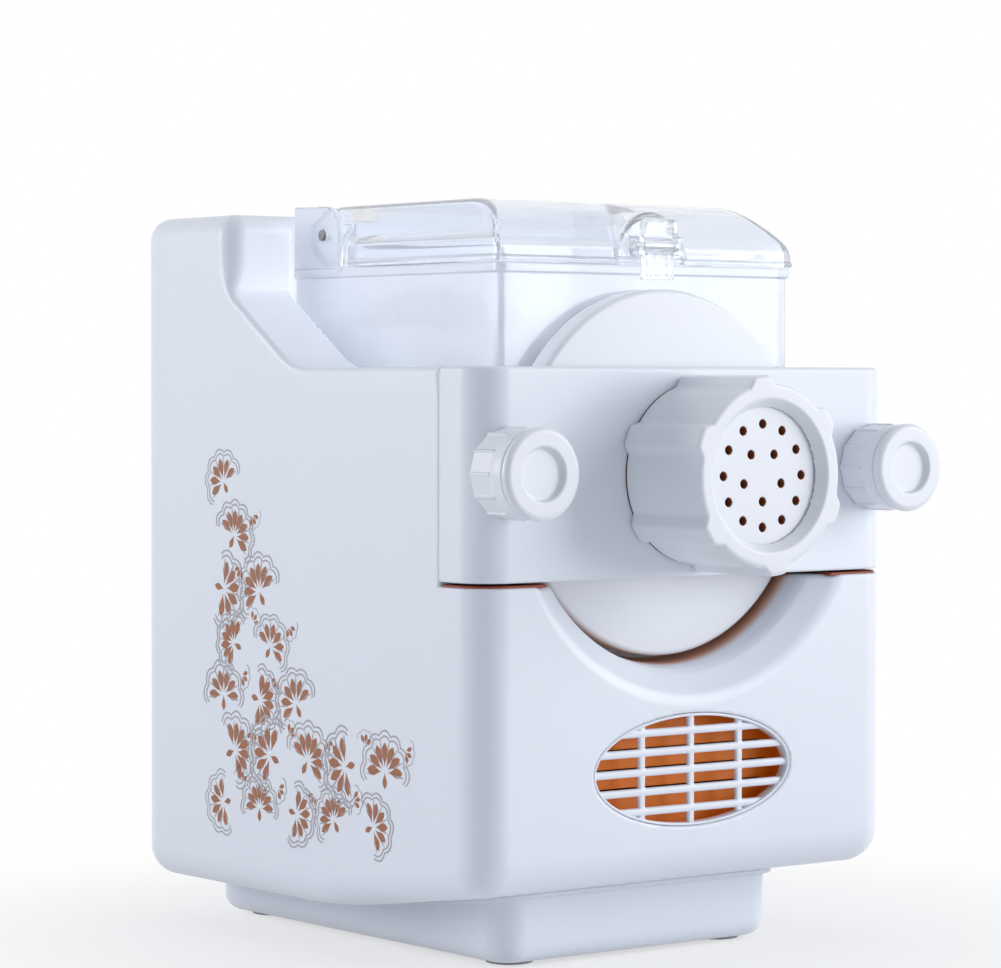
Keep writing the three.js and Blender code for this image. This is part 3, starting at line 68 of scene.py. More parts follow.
# Places read from the frame
BODY_LOW, BODY_HIGH = box_of("main_housing")
BAR_LOW, BAR_HIGH = box_of("crossbar")
DISC_LOW, DISC_HIGH = box_of("front_disc")
BARREL_LOW, BARREL_HIGH = box_of("extrusion_barrel")
BOWL_LOW, BOWL_HIGH = box_of("mixing_bowl")
LID_LOW = box_of("lid")[0]
LATCH_LOW, LATCH_HIGH = box_of("lid_latch")
HINGE_LOW, HINGE_HIGH = box_of("hinge_pin_left")
NUT_LOW, NUT_HIGH = box_of("nozzle_nut")
DIE_LOW, DIE_HIGH = box_of("die_plate")
KNOB_LOW, KNOB_HIGH = box_of("right_knob")
BASE_LOW, BASE_HIGH = box_of("base_tray")
GRILLE_LOW, GRILLE_HIGH = box_of("vent_grille")
COVER_LOW, COVER_HIGH = box_of("rear_cover")
INLET_LOW, INLET_HIGH = box_of("power_inlet")
PANEL_LOW, PANEL_HIGH = box_of("control_panel")
BUTTONS = [box_of(f"button_{i}") for i in (1, 2, 3)]
FRONT = BODY_LOW[1]
REAR = BODY_HIGH[1]
MIDDLE = (FRONT + REAR) / 2
HALF_WIDTH = BODY_HIGH[0]
TOP = BODY_HIGH[2]
AXIS = (DISC_LOW[2] + DISC_HIGH[2]) / 2
KNOB_X = (KNOB_LOW[0] + KNOB_HIGH[0]) / 2
KNOB_Z = (KNOB_LOW[2] + KNOB_HIGH[2]) / 2
COVER_Z = (COVER_LOW[2] + COVER_HIGH[2]) / 2
PANEL_Y = (PANEL_LOW[1] + PANEL_HIGH[1]) / 2

# Clearance between neighbours, overrun of cuts and joined forms, and the edge round most holes
FIT = 0.3
OVERLAP = 1.0
HOLE_EDGE = 0.5

# Housing
WALL = 3.0
CORNER = 14.0
BOTTOM_ROUND = 12.0
TOP_ROUND = 9.0
FLOOR = 17.8
NOSE_RISE = 14.5
NOSE_LENGTH = 98.8
DECK_DROP = 0.2
DECK = BAR_HIGH[2] - DECK_DROP
SEAT_Y = BAR_HIGH[1] + FIT
SEAM_GAP = 1.7
SEAT_TOP = BAR_LOW[2] - SEAM_GAP
TOWER_DEPTH = 67.1
TOWER_Y = REAR - TOWER_DEPTH
RAMP_RISE = 28.6
RAMP_LENGTH = 43.0
RAMP_FOOT = 8.0
TOWER_BLEND = 3.0
TOWER_EDGE = 8.0
DECK_EDGE = 2.4
DECK_EDGE_ZONE = (-12.0, -5.0)
TOWER_EDGE_ZONE = (-6.0, 14.0)
SEAM_EDGE = 0.7
TROUGH = 70.8
TROUGH_EDGE = 1.2
BEVEL_RADIUS = 83.3
BEVEL_EDGE = 1.8
LIP_RADIUS = 73.3
LIP_DEPTH = 8.0
LIP_EDGE = 1.6
DISH_SLOPE = 0.22
SCREW_HOLE = 4.7
INSERT_HOLE = 6.5
INSERT_DEPTH = 20.3
PILLAR = 8.4
PILLAR_END = 2.0
BEARING_HOLE = 12.8
FLOOR_HOLE = (52.0, 69.8)
FLOOR_HOLE_CORNER = 15.0

# Rear cover
COVER_CORNER = 10.0
COVER_LEDGE = 4.0
COVER_EDGE = 0.7
SLOT_COUNT = 7
SLOT_PITCH = 8.0
SLOT_DROP = 24.0
SLOT_HALF = (35.0, 1.5)
SLOT_ROUND = 1.4
INLET_HALF = (13.5, 10.0)
INLET_ROUND = 2.0
COVER_SCREW_INSET = 9.0
COVER_SCREW_HOLE = 2.0
SINK_RADIUS = 3.7
SINK_DEPTH = 1.35

# Control panel and buttons
PANEL_CORNER = 8.0
PANEL_LEDGE = 3.0
PANEL_EDGE = 0.8
POST_INSET = 8.0
POST_RADIUS = 3.0
BUTTON_PITCH = 32.0
BUTTON_RADIUS = 8.0
BUTTON_EDGE = 1.1
BUTTON_DISH = 4.5
BUTTON_DISH_DROPS = (0.35, 0.5)
STEM_RADIUS = 1.5
SKIRT_RADIUS = 9.4
SKIRT_HEIGHT = 1.6

# Base and feet
BASE_BOTTOM = 1.2
BASE_SETBACK = 2.0
BASE_REAR = REAR - BASE_SETBACK
BASE_FLANGE = 3.2
BASE_CORNER = 12.0
BASE_ROUND = 7.0
BASE_LIP = 2.0
BASE_LIP_EDGE = 0.8
BASE_LIP_TOP_EDGE = 0.5
FOOT_RADIUS = 9.0
FOOT_EDGE = 0.6
STUD_RADIUS = 3.2

# Vent
VENT_Z = (GRILLE_LOW[2] + GRILLE_HIGH[2]) / 2
VENT_HALF = (47.7, 20.9)
VENT_GAP = 0.1
VENT_RIM = 3.2
SLEEVE_WALL = 1.1
SLEEVE_SETBACK = 0.2
SLEEVE_EDGE = 0.4
BAR_PITCH = 7.2
BAR_HALF = 1.5
BAR_ROUND = 1.2
RIB_SPACING = 23.6
RIB_HALF = 1.45
RIB_ROUND = 0.8
RIB_SETBACK = 0.3
LATTICE_DEPTH = 2.4
LATTICE_JOIN = 0.3
LATTICE_OVERRUN = 0.4

# Crossbar, front disc and barrel
BAR_WALL = 3.2
BAR_EDGE = 1.7
BAR_LOWER_EDGE = 0.8
BAR_INNER_MARGIN = 1.6
COLLAR_WALL = 2.2
DISC_EDGE = 2.0
DISC_REAR_EDGE = 0.6
SEAL_GROOVE = (60.0, 66.0)
SEAL_DEPTH = 2.6
BARREL_EDGE = 0.8
BARREL_RADIUS = 27.0
BARREL_BORE = 22.0
BARREL_FLANGE = 4.0

# Nozzle nut and die
NUT_RADIUS = 33.5
NUT_LOBE = 2.9
NUT_LOBES = 6
NUT_ANGLE = 36.4
LOBE_SHARES = (0.60, 0.84)
LOBE_SLOPE_SHARE = 0.8
NUT_CHAMFER = 1.4
NUT_REAR_EDGE = 1.0
MOUTH_RADIUS = 27.8
LIP_BORE = 24.5
MOUTH_DEPTH = 4.4
DIE_EDGE = 0.4
DIE_HOLE_EDGE = 0.3
HOLE_RADIUS = 1.65
HOLE_CIRCLES = ((18.7, 12, 90.0), (9.4, 5, 270.0))

# Thumb knobs
KNOB_RADIUS = 16.65
KNOB_RING = 3.6
KNOB_BARREL = 16.2
KNOB_FLAT = 15.7
KNOB_REAR_EDGE = 0.4
KNOB_RING_EDGE = 0.5
SCREW_ROOM = (4.3, 7.0)
WASHER_ROOM = (11.1, 2.2)
KNOB_RIBS = 12
KNOB_RIB_HALF = 0.5
KNOB_RIB_TOP = 16.6
KNOB_RIB_SHARE = 0.64
KNOB_RIB_EDGE = 0.4
KNOB_RIB_JOIN = 0.35
KNOB_FACET_ZONE = (-1.5, 1.0)
KNOB_GROOVE = 0.75
KNOB_GROOVE_OUT = 0.1
KNOB_LIP = 2.2
DISH_RADIUS = 9.6
DISH_DEPTH = 2.3
DISH_ROUND = 1.2
DISH_EDGE = 0.8

# Bowl, lid and latch
BOWL_HALF = 70.0
BOWL_WALL = 3.0
BOWL_EDGE = 2.0
RIM_WIDTH = 1.4
RIM_HEIGHT = 3.5
RIM_CORNER = 3.0
RIM_EDGE = 0.6
RIM_JOIN = 0.5
LID_GAP = 0.5
BOWL_FRONT = BOWL_LOW[1] + RIM_WIDTH
BOWL_TOP = LID_LOW[2] - LID_GAP
MOUTH_OF_BOWL = 58.0
SHAFT_SEAL = 13.0
EAR = 3.8
EAR_RADIUS = 11.2
HINGE_Y = (HINGE_LOW[1] + HINGE_HIGH[1]) / 2
HINGE_Z = (HINGE_LOW[2] + HINGE_HIGH[2]) / 2
PIN_HOLE = 2.3
LID_WALL = 2.8
LID_OVERHANG = 0.2
LID_FRONT = BOWL_LOW[1] - LID_OVERHANG
KNUCKLE = 11.8
KNUCKLE_EDGE = 0.8
KNUCKLE_SWING = 1.2
LID_TOP = HINGE_Z + KNUCKLE
LID_EDGE = 6.0
LID_BEVEL = 34.0
LID_BEVEL_SHARE = 0.42
LID_SIDE_EDGE = 9.0
LID_SIDE_BEVEL = 11.0
LID_BEAD = (0.7, 1.8)
BEAD_END = 2.0
BEAD_JOIN = 0.5
LID_ROUND = 2.6
LID_RIM_EDGE = 0.5
HOOD_HALF = 17.0
HOOD_RISE = 7.0
HOOD_DEPTH = 26.0
HOOD_EDGE = 1.0
HOOD_JOIN = 1.5
LUG = (7.9, 10.5)
LUG_HALF_HEIGHT = 3.5
LATCH_BARREL = 2.7
LATCH_DROP = 6.0
LATCH_PIVOT = (LATCH_HIGH[1] - LATCH_BARREL, HINGE_Z - LATCH_DROP)
LATCH_PIN = 1.5
LATCH_PIN_ROOM = 1.7
LATCH_HALF = 7.6
LATCH_EDGE = 0.7
LATCH_PLATE_HALF = 1.2
LATCH_PLATE_DROP = 2.4
LATCH_BARREL_JOIN = 1.2
LATCH_JOIN = 0.6
THUMB_OUT = 1.4
THUMB_DROP = 3.6
THUMB_RADIUS = 2.2
THUMB_STRETCH_SHARE = 1.4
LATCH_RIB_SPACING = 4.4
LATCH_RIB_HALF = 0.9
LATCH_RIB_DEPTH = 2.1
LATCH_RIB_MARGINS = (1.5, 3.0)
LATCH_RIB_JOIN = 0.4

# Seam strip and nut ring: dark sheets that paint shade into the gaps
STRIP_INSET = 1.0
STRIP_LOW = 0.3
STRIP_HIGH = 0.8
STRIP_CLEAR = 6.0
STRIP_MARGIN = 0.6
RING_BORE = 29.0
RING_DEPTH = 0.25
RING_SETBACK = 0.2

# Where the faces with painted shade are: the seam, the recess and the walls of the die's holes
SEAM_INSET = 2.0
SEAM_REACH = 1.5
HOLE_MARGIN = 3.0
WALL_NORMAL_SHARE = 0.6
SHADE_START = 13.0
SHADE_END = 19.0
SHADE_DEPTHS = (FRONT + SHADE_START, FRONT + SHADE_END)

# Steps of the grids that the surfaces are found on: fine at edges and coarse along flats
HOUSING_STEP = 1.25
COARSE_STEP = 3.5
RAMP_STEP = 2.0
LOWER_STEP = 1.6
GRILLE_STEP = 0.5
BASE_STEP = 1.1
COVER_STEP = 0.9
PANEL_STEP = 0.8
CROSSBAR_STEP = 1.0
NUT_STEP = 0.6
DIE_STEP = 0.36
KNOB_STEP = 0.42
BOWL_STEP = 1.25
LID_STEP = 0.9
LATCH_STEP = 0.35
STRIP_STEP = 1.2
STRIP_UP_STEP = 0.3
GRID_MARGIN = 3.0
MARGIN_STEPS = 2.5

# How far the housing's fine stretches reach past its edges
FRONT_ZONE = 29.0
RAMP_ZONE = 20.0
TOWER_ZONE = (-8.0, 10.0)
REAR_ZONE = 18.0
VENT_ZONE = 46.0
SEAM_ZONE = 3.0
DECK_ZONE = 8.0
RAMP_TOP_ZONE = 4.0
TOP_ZONE = 16.0

# Meshing
SLOPE_STEP = 0.04
LEAST_SLOPE = 0.05
LIMIT_STEPS = 3
PULLS = 2
TINY = 1e-6
FAR = 1e3
TILE = 14.0
TILE_WEIGHTS = (1, 2, 4)
TILE_INDICES = 7
FLAT_ANGLE = math.radians(0.4)
SHARP_ANGLE = math.radians(32)
TURNED_SIDES = 128
DISC_SIDES = 224
FOOT_SIDES = 72
BUTTON_SIDES = 96


# Signed distances, negative inside a solid
def length(*parts):
    return np.sqrt(sum(part * part for part in parts))


def union(first, *others):
    for other in others:
        first = np.minimum(first, other)
    return first


def meet(first, *others):
    for other in others:
        first = np.maximum(first, other)
    return first


def soft_union(a, b, radius):
    corner = length(np.maximum(radius - a, 0), np.maximum(radius - b, 0))
    return np.maximum(radius, np.minimum(a, b)) - corner


def soft_meet(a, b, radius):
    corner = length(np.maximum(radius + a, 0), np.maximum(radius + b, 0))
    return np.minimum(-radius, np.maximum(a, b)) + corner


def blend(value, start, end):
    share = np.clip((value - start) / (end - start), 0, 1)
    return share * share * (3 - 2 * share)


def slab(value, low, high):
    return np.maximum(low - value, value - high)


def round_box(x, y, half_x, half_y, radius):
    dx = np.abs(x) - (half_x - radius)
    dy = np.abs(y) - (half_y - radius)
    return length(np.maximum(dx, 0), np.maximum(dy, 0)) + np.minimum(np.maximum(dx, dy), 0) - radius


def ellipse(x, y, half_x, half_y):
    near = length(x / half_x, y / half_y)
    slope = length(x / half_x ** 2, y / half_y ** 2)
    return near * (near - 1) / np.maximum(slope, TINY)


def trough_side(x, z, half):
    """Upright walls above the axis and a round bottom below it."""
    return np.where(z > AXIS, np.abs(x), length(x, z - AXIS)) - half


# Housing
def body_plan(x, y):
    return round_box(x, y - MIDDLE, HALF_WIDTH, (REAR - FRONT) / 2, CORNER)


def underside(y, z):
    """The underside is level at the rear and rises towards the nozzle."""
    slope = np.hypot(NOSE_RISE, NOSE_LENGTH)
    slanted = ((FLOOR - z) * NOSE_LENGTH + (FRONT + NOSE_LENGTH - y) * NOSE_RISE) / slope
    return soft_meet(FLOOR - z, slanted, WALL)


def relief(y, z):
    """What the crossbar seat, the deck, the ramp and the tower leave of the block, seen from the side."""
    along = np.maximum(y - TOWER_Y + RAMP_LENGTH, -RAMP_FOOT)
    foot = np.minimum(along, RAMP_FOOT) + RAMP_FOOT
    slope = RAMP_RISE / RAMP_LENGTH
    height = DECK + slope * (foot ** 2 / RAMP_FOOT / 4 + along + RAMP_FOOT - foot)
    above = (z - height) / np.sqrt(1 + (slope * foot / RAMP_FOOT / 2) ** 2)
    return union(meet(soft_union(above, TOWER_Y - y, TOWER_BLEND), SEAT_Y - y), z - SEAT_TOP)


def edge_radius(z):
    """Edges are tight at the crossbar seat, softer on the deck and softest on the tower."""
    ramp_top = DECK + RAMP_RISE
    deck_start, deck_end = DECK_EDGE_ZONE
    tower_start, tower_end = TOWER_EDGE_ZONE
    deck = (DECK_EDGE - SEAM_EDGE) * blend(z, DECK + deck_start, DECK + deck_end)
    tower = (TOWER_EDGE - DECK_EDGE) * blend(z, ramp_top + tower_start, ramp_top + tower_end)
    return SEAM_EDGE + deck + tower


def recess(x, y, z):
    """The room in front of the bevel round the front disc and in the steep dish behind its lip."""
    reach = length(x, z - AXIS)
    depth = y - FRONT
    slope = LIP_DEPTH / (BEVEL_RADIUS - LIP_RADIUS)
    bevel = (depth - (BEVEL_RADIUS - reach) * slope) / math.hypot(1, slope)
    wall = np.clip(LIP_RADIUS - DISH_SLOPE * (depth - LIP_DEPTH), TROUGH, LIP_RADIUS)
    return soft_union(bevel, (reach - wall) * math.cos(DISH_SLOPE), LIP_EDGE)


def housing_form(x, y, z):
    block = soft_meet(body_plan(x, y), underside(y, z), BOTTOM_ROUND)
    block = soft_meet(block, z - TOP, TOP_ROUND)
    block = soft_meet(block, relief(y, z), edge_radius(z))
    block = soft_meet(block, -recess(x, y, z), BEVEL_EDGE)
    return soft_meet(block, -meet(trough_side(x, z, TROUGH), y - TOWER_Y), TROUGH_EDGE)


def cover_plan(x, z, grow):
    half = (COVER_HIGH[2] - COVER_LOW[2]) / 2
    return round_box(x, z - COVER_Z, COVER_HIGH[0] + grow, half + grow, COVER_CORNER)


def panel_plan(x, y, grow):
    half = (PANEL_HIGH[1] - PANEL_LOW[1]) / 2
    return round_box(x, y - PANEL_Y, PANEL_HIGH[0] + grow, half + grow, PANEL_CORNER + min(grow, 0))


def screw_reach(x, z):
    return length(np.abs(x) - KNOB_X, z - KNOB_Z)


def housing(x, y, z):
    form = housing_form(x, y, z)
    shell = soft_meet(form, -(form + WALL), SEAM_EDGE)
    cover_back = COVER_LOW[1] - FIT
    ledge = meet(slab(y, cover_back - WALL, cover_back), cover_plan(x, z, WALL),
                 -cover_plan(x, z, -COVER_LEDGE))
    panel_back = TOP - WALL - FIT
    panel_frame = meet(slab(z, panel_back - WALL, TOP - WALL / 2), panel_plan(x, y, PANEL_LEDGE))
    screw = screw_reach(x, z)
    pillar = meet(screw - PILLAR, slab(y, SEAT_Y, SEAT_Y + INSERT_DEPTH + PILLAR_END))
    shell = meet(shell, -meet(cover_plan(x, z, FIT), cover_back - y))
    shell = union(shell, ledge, panel_frame, pillar)
    holes = union(
        meet(panel_plan(x, y, FIT), panel_back - z),
        meet(panel_plan(x, y, -PANEL_LEDGE), panel_back - 2 * WALL - z),
        meet(round_box(x, y - MIDDLE, *FLOOR_HOLE, FLOOR_HOLE_CORNER), z - FLOOR - NOSE_RISE - WALL),
        meet(screw - INSERT_HOLE, slab(y, SEAT_Y - WALL, SEAT_Y + INSERT_DEPTH)),
        meet(screw - SCREW_HOLE, slab(y, SEAT_Y - WALL, SEAT_Y + 2 * INSERT_DEPTH)),
        meet(length(x, z - AXIS) - BEARING_HOLE, slab(y, TOWER_Y - WALL, TOWER_Y + 2 * WALL)))
    vent = meet(ellipse(x, z - VENT_Z, *VENT_HALF), slab(y, FRONT - WALL, FRONT + 2 * WALL))
    return soft_meet(meet(shell, -holes), -vent, SEAM_EDGE)


def vent_grille(x, y, z):
    """Bars and ribs across the oval vent, in a sleeve with a rim behind the front wall."""
    front, back = GRILLE_LOW[1], GRILLE_HIGH[1]
    opening = ellipse(x, z - VENT_Z, VENT_HALF[0] - VENT_GAP, VENT_HALF[1] - VENT_GAP)
    rim_plan = ellipse(x, z - VENT_Z, VENT_HALF[0] + VENT_RIM, VENT_HALF[1] + VENT_RIM)
    rim = meet(rim_plan, -opening - OVERLAP, slab(y, back - VENT_RIM / 2, back))
    sleeve = soft_meet(meet(opening, y - back), -(opening + SLEEVE_WALL), SLEEVE_EDGE)
    sleeve = soft_meet(sleeve, FRONT + SLEEVE_SETBACK - y, HOLE_EDGE)
    near_bar = (((z - VENT_Z) / BAR_PITCH + 0.5) % 1 - 0.5) * BAR_PITCH
    near_rib = x - np.clip(np.round(x / RIB_SPACING), -1, 1) * RIB_SPACING
    bar = soft_meet(np.abs(near_bar) - BAR_HALF, slab(y, front, front + LATTICE_DEPTH), BAR_ROUND)
    rib_depth = slab(y, front + RIB_SETBACK, front + LATTICE_DEPTH)
    rib = soft_meet(np.abs(near_rib) - RIB_HALF, rib_depth, RIB_ROUND)
    return union(rim, sleeve, meet(soft_union(bar, rib, LATTICE_JOIN), opening + LATTICE_OVERRUN))


def base_tray(x, y, z):
    """A tray under the housing with a flange along its top."""
    middle = (BASE_LOW[1] + BASE_REAR) / 2
    half = (BASE_HIGH[0] - BASE_FLANGE, (BASE_REAR - BASE_LOW[1]) / 2 - BASE_FLANGE)
    plan = round_box(x, y - middle, *half, BASE_CORNER)
    under = underside(y, z)
    tray = meet(soft_meet(plan, BASE_BOTTOM - z, BASE_ROUND), FIT - under)
    lip_height = soft_meet(FIT - under, under - FIT - BASE_LIP, BASE_LIP_TOP_EDGE)
    lip = soft_meet(plan - BASE_FLANGE, lip_height, BASE_LIP_EDGE)
    hollow = meet(plan + WALL, BASE_BOTTOM + WALL - z)
    return meet(soft_union(tray, lip, BASE_LIP_EDGE), -hollow)


def rear_cover(x, y, z):
    plate = soft_meet(cover_plan(x, z, 0), y - COVER_HIGH[1], COVER_EDGE)
    top_slot = COVER_HIGH[2] - SLOT_DROP
    slot_z = top_slot - np.clip(np.round((top_slot - z) / SLOT_PITCH), 0, SLOT_COUNT - 1) * SLOT_PITCH
    slots = round_box(x, z - slot_z, *SLOT_HALF, SLOT_ROUND)
    inlet_x = (INLET_LOW[0] + INLET_HIGH[0]) / 2
    inlet_z = (INLET_LOW[2] + INLET_HIGH[2]) / 2
    inlet = round_box(x - inlet_x, z - inlet_z, INLET_HALF[0] + FIT, INLET_HALF[1] + FIT, INLET_ROUND)
    screw = length(np.abs(x) - COVER_HIGH[0] + COVER_SCREW_INSET,
                   np.abs(z - COVER_Z) - (COVER_HIGH[2] - COVER_Z) + COVER_SCREW_INSET)
    sink = meet(screw - SINK_RADIUS, COVER_HIGH[1] - SINK_DEPTH - y)
    plate = soft_meet(meet(plate, COVER_LOW[1] - y), -union(slots, inlet, sink), HOLE_EDGE)
    return meet(plate, COVER_SCREW_HOLE - screw)


def control_panel(x, y, z):
    plate_back = TOP - WALL
    plate = meet(soft_meet(panel_plan(x, y, 0), z - TOP, PANEL_EDGE), plate_back - z)
    place = np.clip(np.round(x / BUTTON_PITCH), -1, 1) * BUTTON_PITCH
    button = length(x - place, y - PANEL_Y)
    post = length(np.abs(x) - PANEL_HIGH[0] + POST_INSET,
                  np.abs(y - PANEL_Y) - (PANEL_HIGH[1] - PANEL_Y) + POST_INSET) - POST_RADIUS
    plate = soft_meet(plate, BUTTON_RADIUS + FIT - button, HOLE_EDGE)
    return union(plate, meet(post, slab(z, PANEL_LOW[2], plate_back + OVERLAP)))


# Crossbar, nut, die and knobs
def crossbar(x, y, z):
    block = meet(body_plan(x, y), y - BAR_HIGH[1])
    block = soft_meet(block, z - BAR_HIGH[2], BAR_EDGE)
    block = soft_meet(block, BAR_LOW[2] - z, BAR_LOWER_EDGE)
    hollow = meet(body_plan(x, y) + BAR_WALL, slab(z, BAR_LOW[2] + BAR_WALL, BAR_HIGH[2] - BAR_WALL))
    screw = screw_reach(x, z)
    reach = length(x, z - AXIS)
    disc_front = DISC_LOW[1]
    rib = slab(np.abs(x), DISC_HIGH[0] - BAR_WALL / 2, DISC_HIGH[0] + BAR_WALL / 2)
    collar = reach - BARREL_HIGH[0] - COLLAR_WALL
    inner = union(meet(screw - PILLAR, y - BAR_HIGH[1]), meet(union(rib, collar), y - disc_front))
    inner_height = slab(z, BAR_LOW[2] + BAR_INNER_MARGIN, BAR_HIGH[2] - BAR_INNER_MARGIN)
    inner = meet(inner, FRONT + BAR_WALL / 2 - y, inner_height)
    holes = union(
        meet(reach - DISC_HIGH[0] - 2 * FIT, disc_front - FIT - y),
        meet(reach - BARREL_HIGH[0] - FIT, disc_front - FIT * 2 - BARREL_FLANGE - y),
        reach - BARREL_RADIUS - 2 * FIT, screw - SCREW_HOLE)
    return meet(union(meet(block, -hollow), inner), -holes)


def nozzle_nut(x, y, z):
    """Six grip lobes with flat tops and soft shoulders, and a mouth that leads in to the die."""
    reach = length(x, z - AXIS)
    angle = np.degrees(np.arctan2(z - AXIS, x)) - NUT_ANGLE
    from_crest = np.abs((angle * NUT_LOBES / 360 + 0.5) % 1 - 0.5) * 2
    side = (reach - NUT_RADIUS - NUT_LOBE * blend(1 - from_crest, *LOBE_SHARES)) * LOBE_SLOPE_SHARE
    body = soft_meet(soft_meet(side, NUT_LOW[1] - y, NUT_CHAMFER), y - NUT_HIGH[1], NUT_REAR_EDGE)
    share = np.clip((y - NUT_LOW[1]) / MOUTH_DEPTH, 0, 1)
    mouth = reach - MOUTH_RADIUS + (MOUTH_RADIUS - LIP_BORE) * share
    behind = NUT_LOW[1] + MOUTH_DEPTH - y
    bore = union(mouth, meet(reach - BARREL_RADIUS - FIT, behind))
    return soft_meet(body, -bore, HOLE_EDGE)


def die_plate(x, y, z):
    reach = length(x, z - AXIS)
    plate = soft_meet(reach - BARREL_RADIUS, slab(y, DIE_LOW[1], DIE_HIGH[1]), DIE_EDGE)
    holes = FAR
    for circle, count, start in HOLE_CIRCLES:
        for i in range(count):
            angle = math.radians(start) + TURN * i / count
            hole_x, hole_z = circle * math.cos(angle), AXIS + circle * math.sin(angle)
            holes = union(length(x - hole_x, z - hole_z) - HOLE_RADIUS, holes)
    return soft_meet(plate, -holes, DIE_HOLE_EDGE)


def knob_at(middle):
    """A thumb knob: a faceted barrel with thin raised ribs behind a smooth round ring with a dished face."""
    ring_rear = KNOB_LOW[1] + KNOB_RING
    rib_front = KNOB_HIGH[1] - (KNOB_HIGH[1] - ring_rear) * KNOB_RIB_SHARE
    facet_start, facet_end = KNOB_FACET_ZONE
    washer_radius, washer_depth = WASHER_ROOM
    screw_radius, screw_depth = SCREW_ROOM

    def knob(x, y, z):
        reach = length(x - middle, z - KNOB_Z)
        pitch = TURN / KNOB_RIBS
        angle = np.arctan2(z - KNOB_Z, x - middle)
        folded = ((angle / pitch + 0.5) % 1 - 0.5) * pitch
        between = ((angle / pitch) % 1 - 0.5) * pitch
        share = blend(y, rib_front + facet_start, rib_front + facet_end)
        side = (reach - KNOB_BARREL) * (1 - share) + (np.cos(between) * reach - KNOB_FLAT) * share
        rib = meet(np.abs(np.sin(folded)) * reach - KNOB_RIB_HALF, np.cos(folded) * reach - KNOB_RIB_TOP)
        rib = soft_meet(rib, rib_front - y, KNOB_RIB_EDGE)
        barrel = soft_meet(soft_union(side, rib, KNOB_RIB_JOIN), y - KNOB_HIGH[1], KNOB_REAR_EDGE)
        barrel = meet(barrel, ring_rear - OVERLAP - y)
        ring = soft_meet(reach - KNOB_RADIUS, KNOB_LOW[1] - y, KNOB_LIP)
        ring = soft_meet(ring, y - ring_rear, KNOB_RING_EDGE)
        dish = soft_meet(reach - DISH_RADIUS, y - KNOB_LOW[1] - DISH_DEPTH, DISH_ROUND)
        ring = soft_meet(ring, -dish, DISH_EDGE)
        groove = length(reach - KNOB_BARREL - KNOB_GROOVE_OUT, y - ring_rear) - KNOB_GROOVE
        washer_room = meet(reach - washer_radius, KNOB_HIGH[1] - washer_depth - y)
        screw_room = meet(reach - screw_radius, KNOB_LOW[1] + screw_depth - y)
        return meet(union(barrel, ring), -groove, -washer_room, -screw_room)

    return knob


# Bowl, lid and latch
def mixing_bowl(x, y, z):
    side = trough_side(x, z, BOWL_HALF)
    back = BOWL_HIGH[1]
    outer = meet(soft_meet(side, slab(y, BOWL_FRONT, back), BOWL_EDGE), z - BOWL_TOP)
    rim_plan = round_box(x, y - (BOWL_LOW[1] + back) / 2, BOWL_HALF + RIM_WIDTH, (back - BOWL_LOW[1]) / 2,
                         RIM_CORNER)
    rim = soft_meet(rim_plan, slab(z, BOWL_TOP - RIM_HEIGHT, BOWL_TOP), RIM_EDGE)
    inner = soft_meet(side + BOWL_WALL, slab(y, BOWL_FRONT + BOWL_WALL, back - BOWL_WALL), BOWL_EDGE)
    reach = length(x, z - AXIS)
    hinge = length(y - HINGE_Y, z - HINGE_Z)
    ear_plan = union(hinge - EAR_RADIUS, meet(HINGE_Y - EAR_RADIUS - y, z - HINGE_Z, BOWL_TOP - WALL - z),
                     meet(HINGE_Y - y, z - HINGE_Z - EAR_RADIUS, BOWL_TOP - WALL - z))
    ear = meet(ear_plan, y - back, slab(np.abs(x), BOWL_HALF - EAR, BOWL_HALF))
    bridge = meet(np.abs(x) - BOWL_HALF, slab(y, back - BOWL_WALL, back),
                  slab(z, BOWL_TOP - WALL, BOWL_HIGH[2]))
    bowl = meet(soft_union(outer, rim, RIM_JOIN), -inner)
    bowl = union(bowl, bridge, ear)
    holes = union(
        meet(reach - MOUTH_OF_BOWL, y - BOWL_FRONT - BOWL_WALL - OVERLAP),
        meet(reach - SHAFT_SEAL, back - BOWL_WALL - OVERLAP - y), hinge - PIN_HOLE)
    return soft_meet(bowl, -holes, HOLE_EDGE)


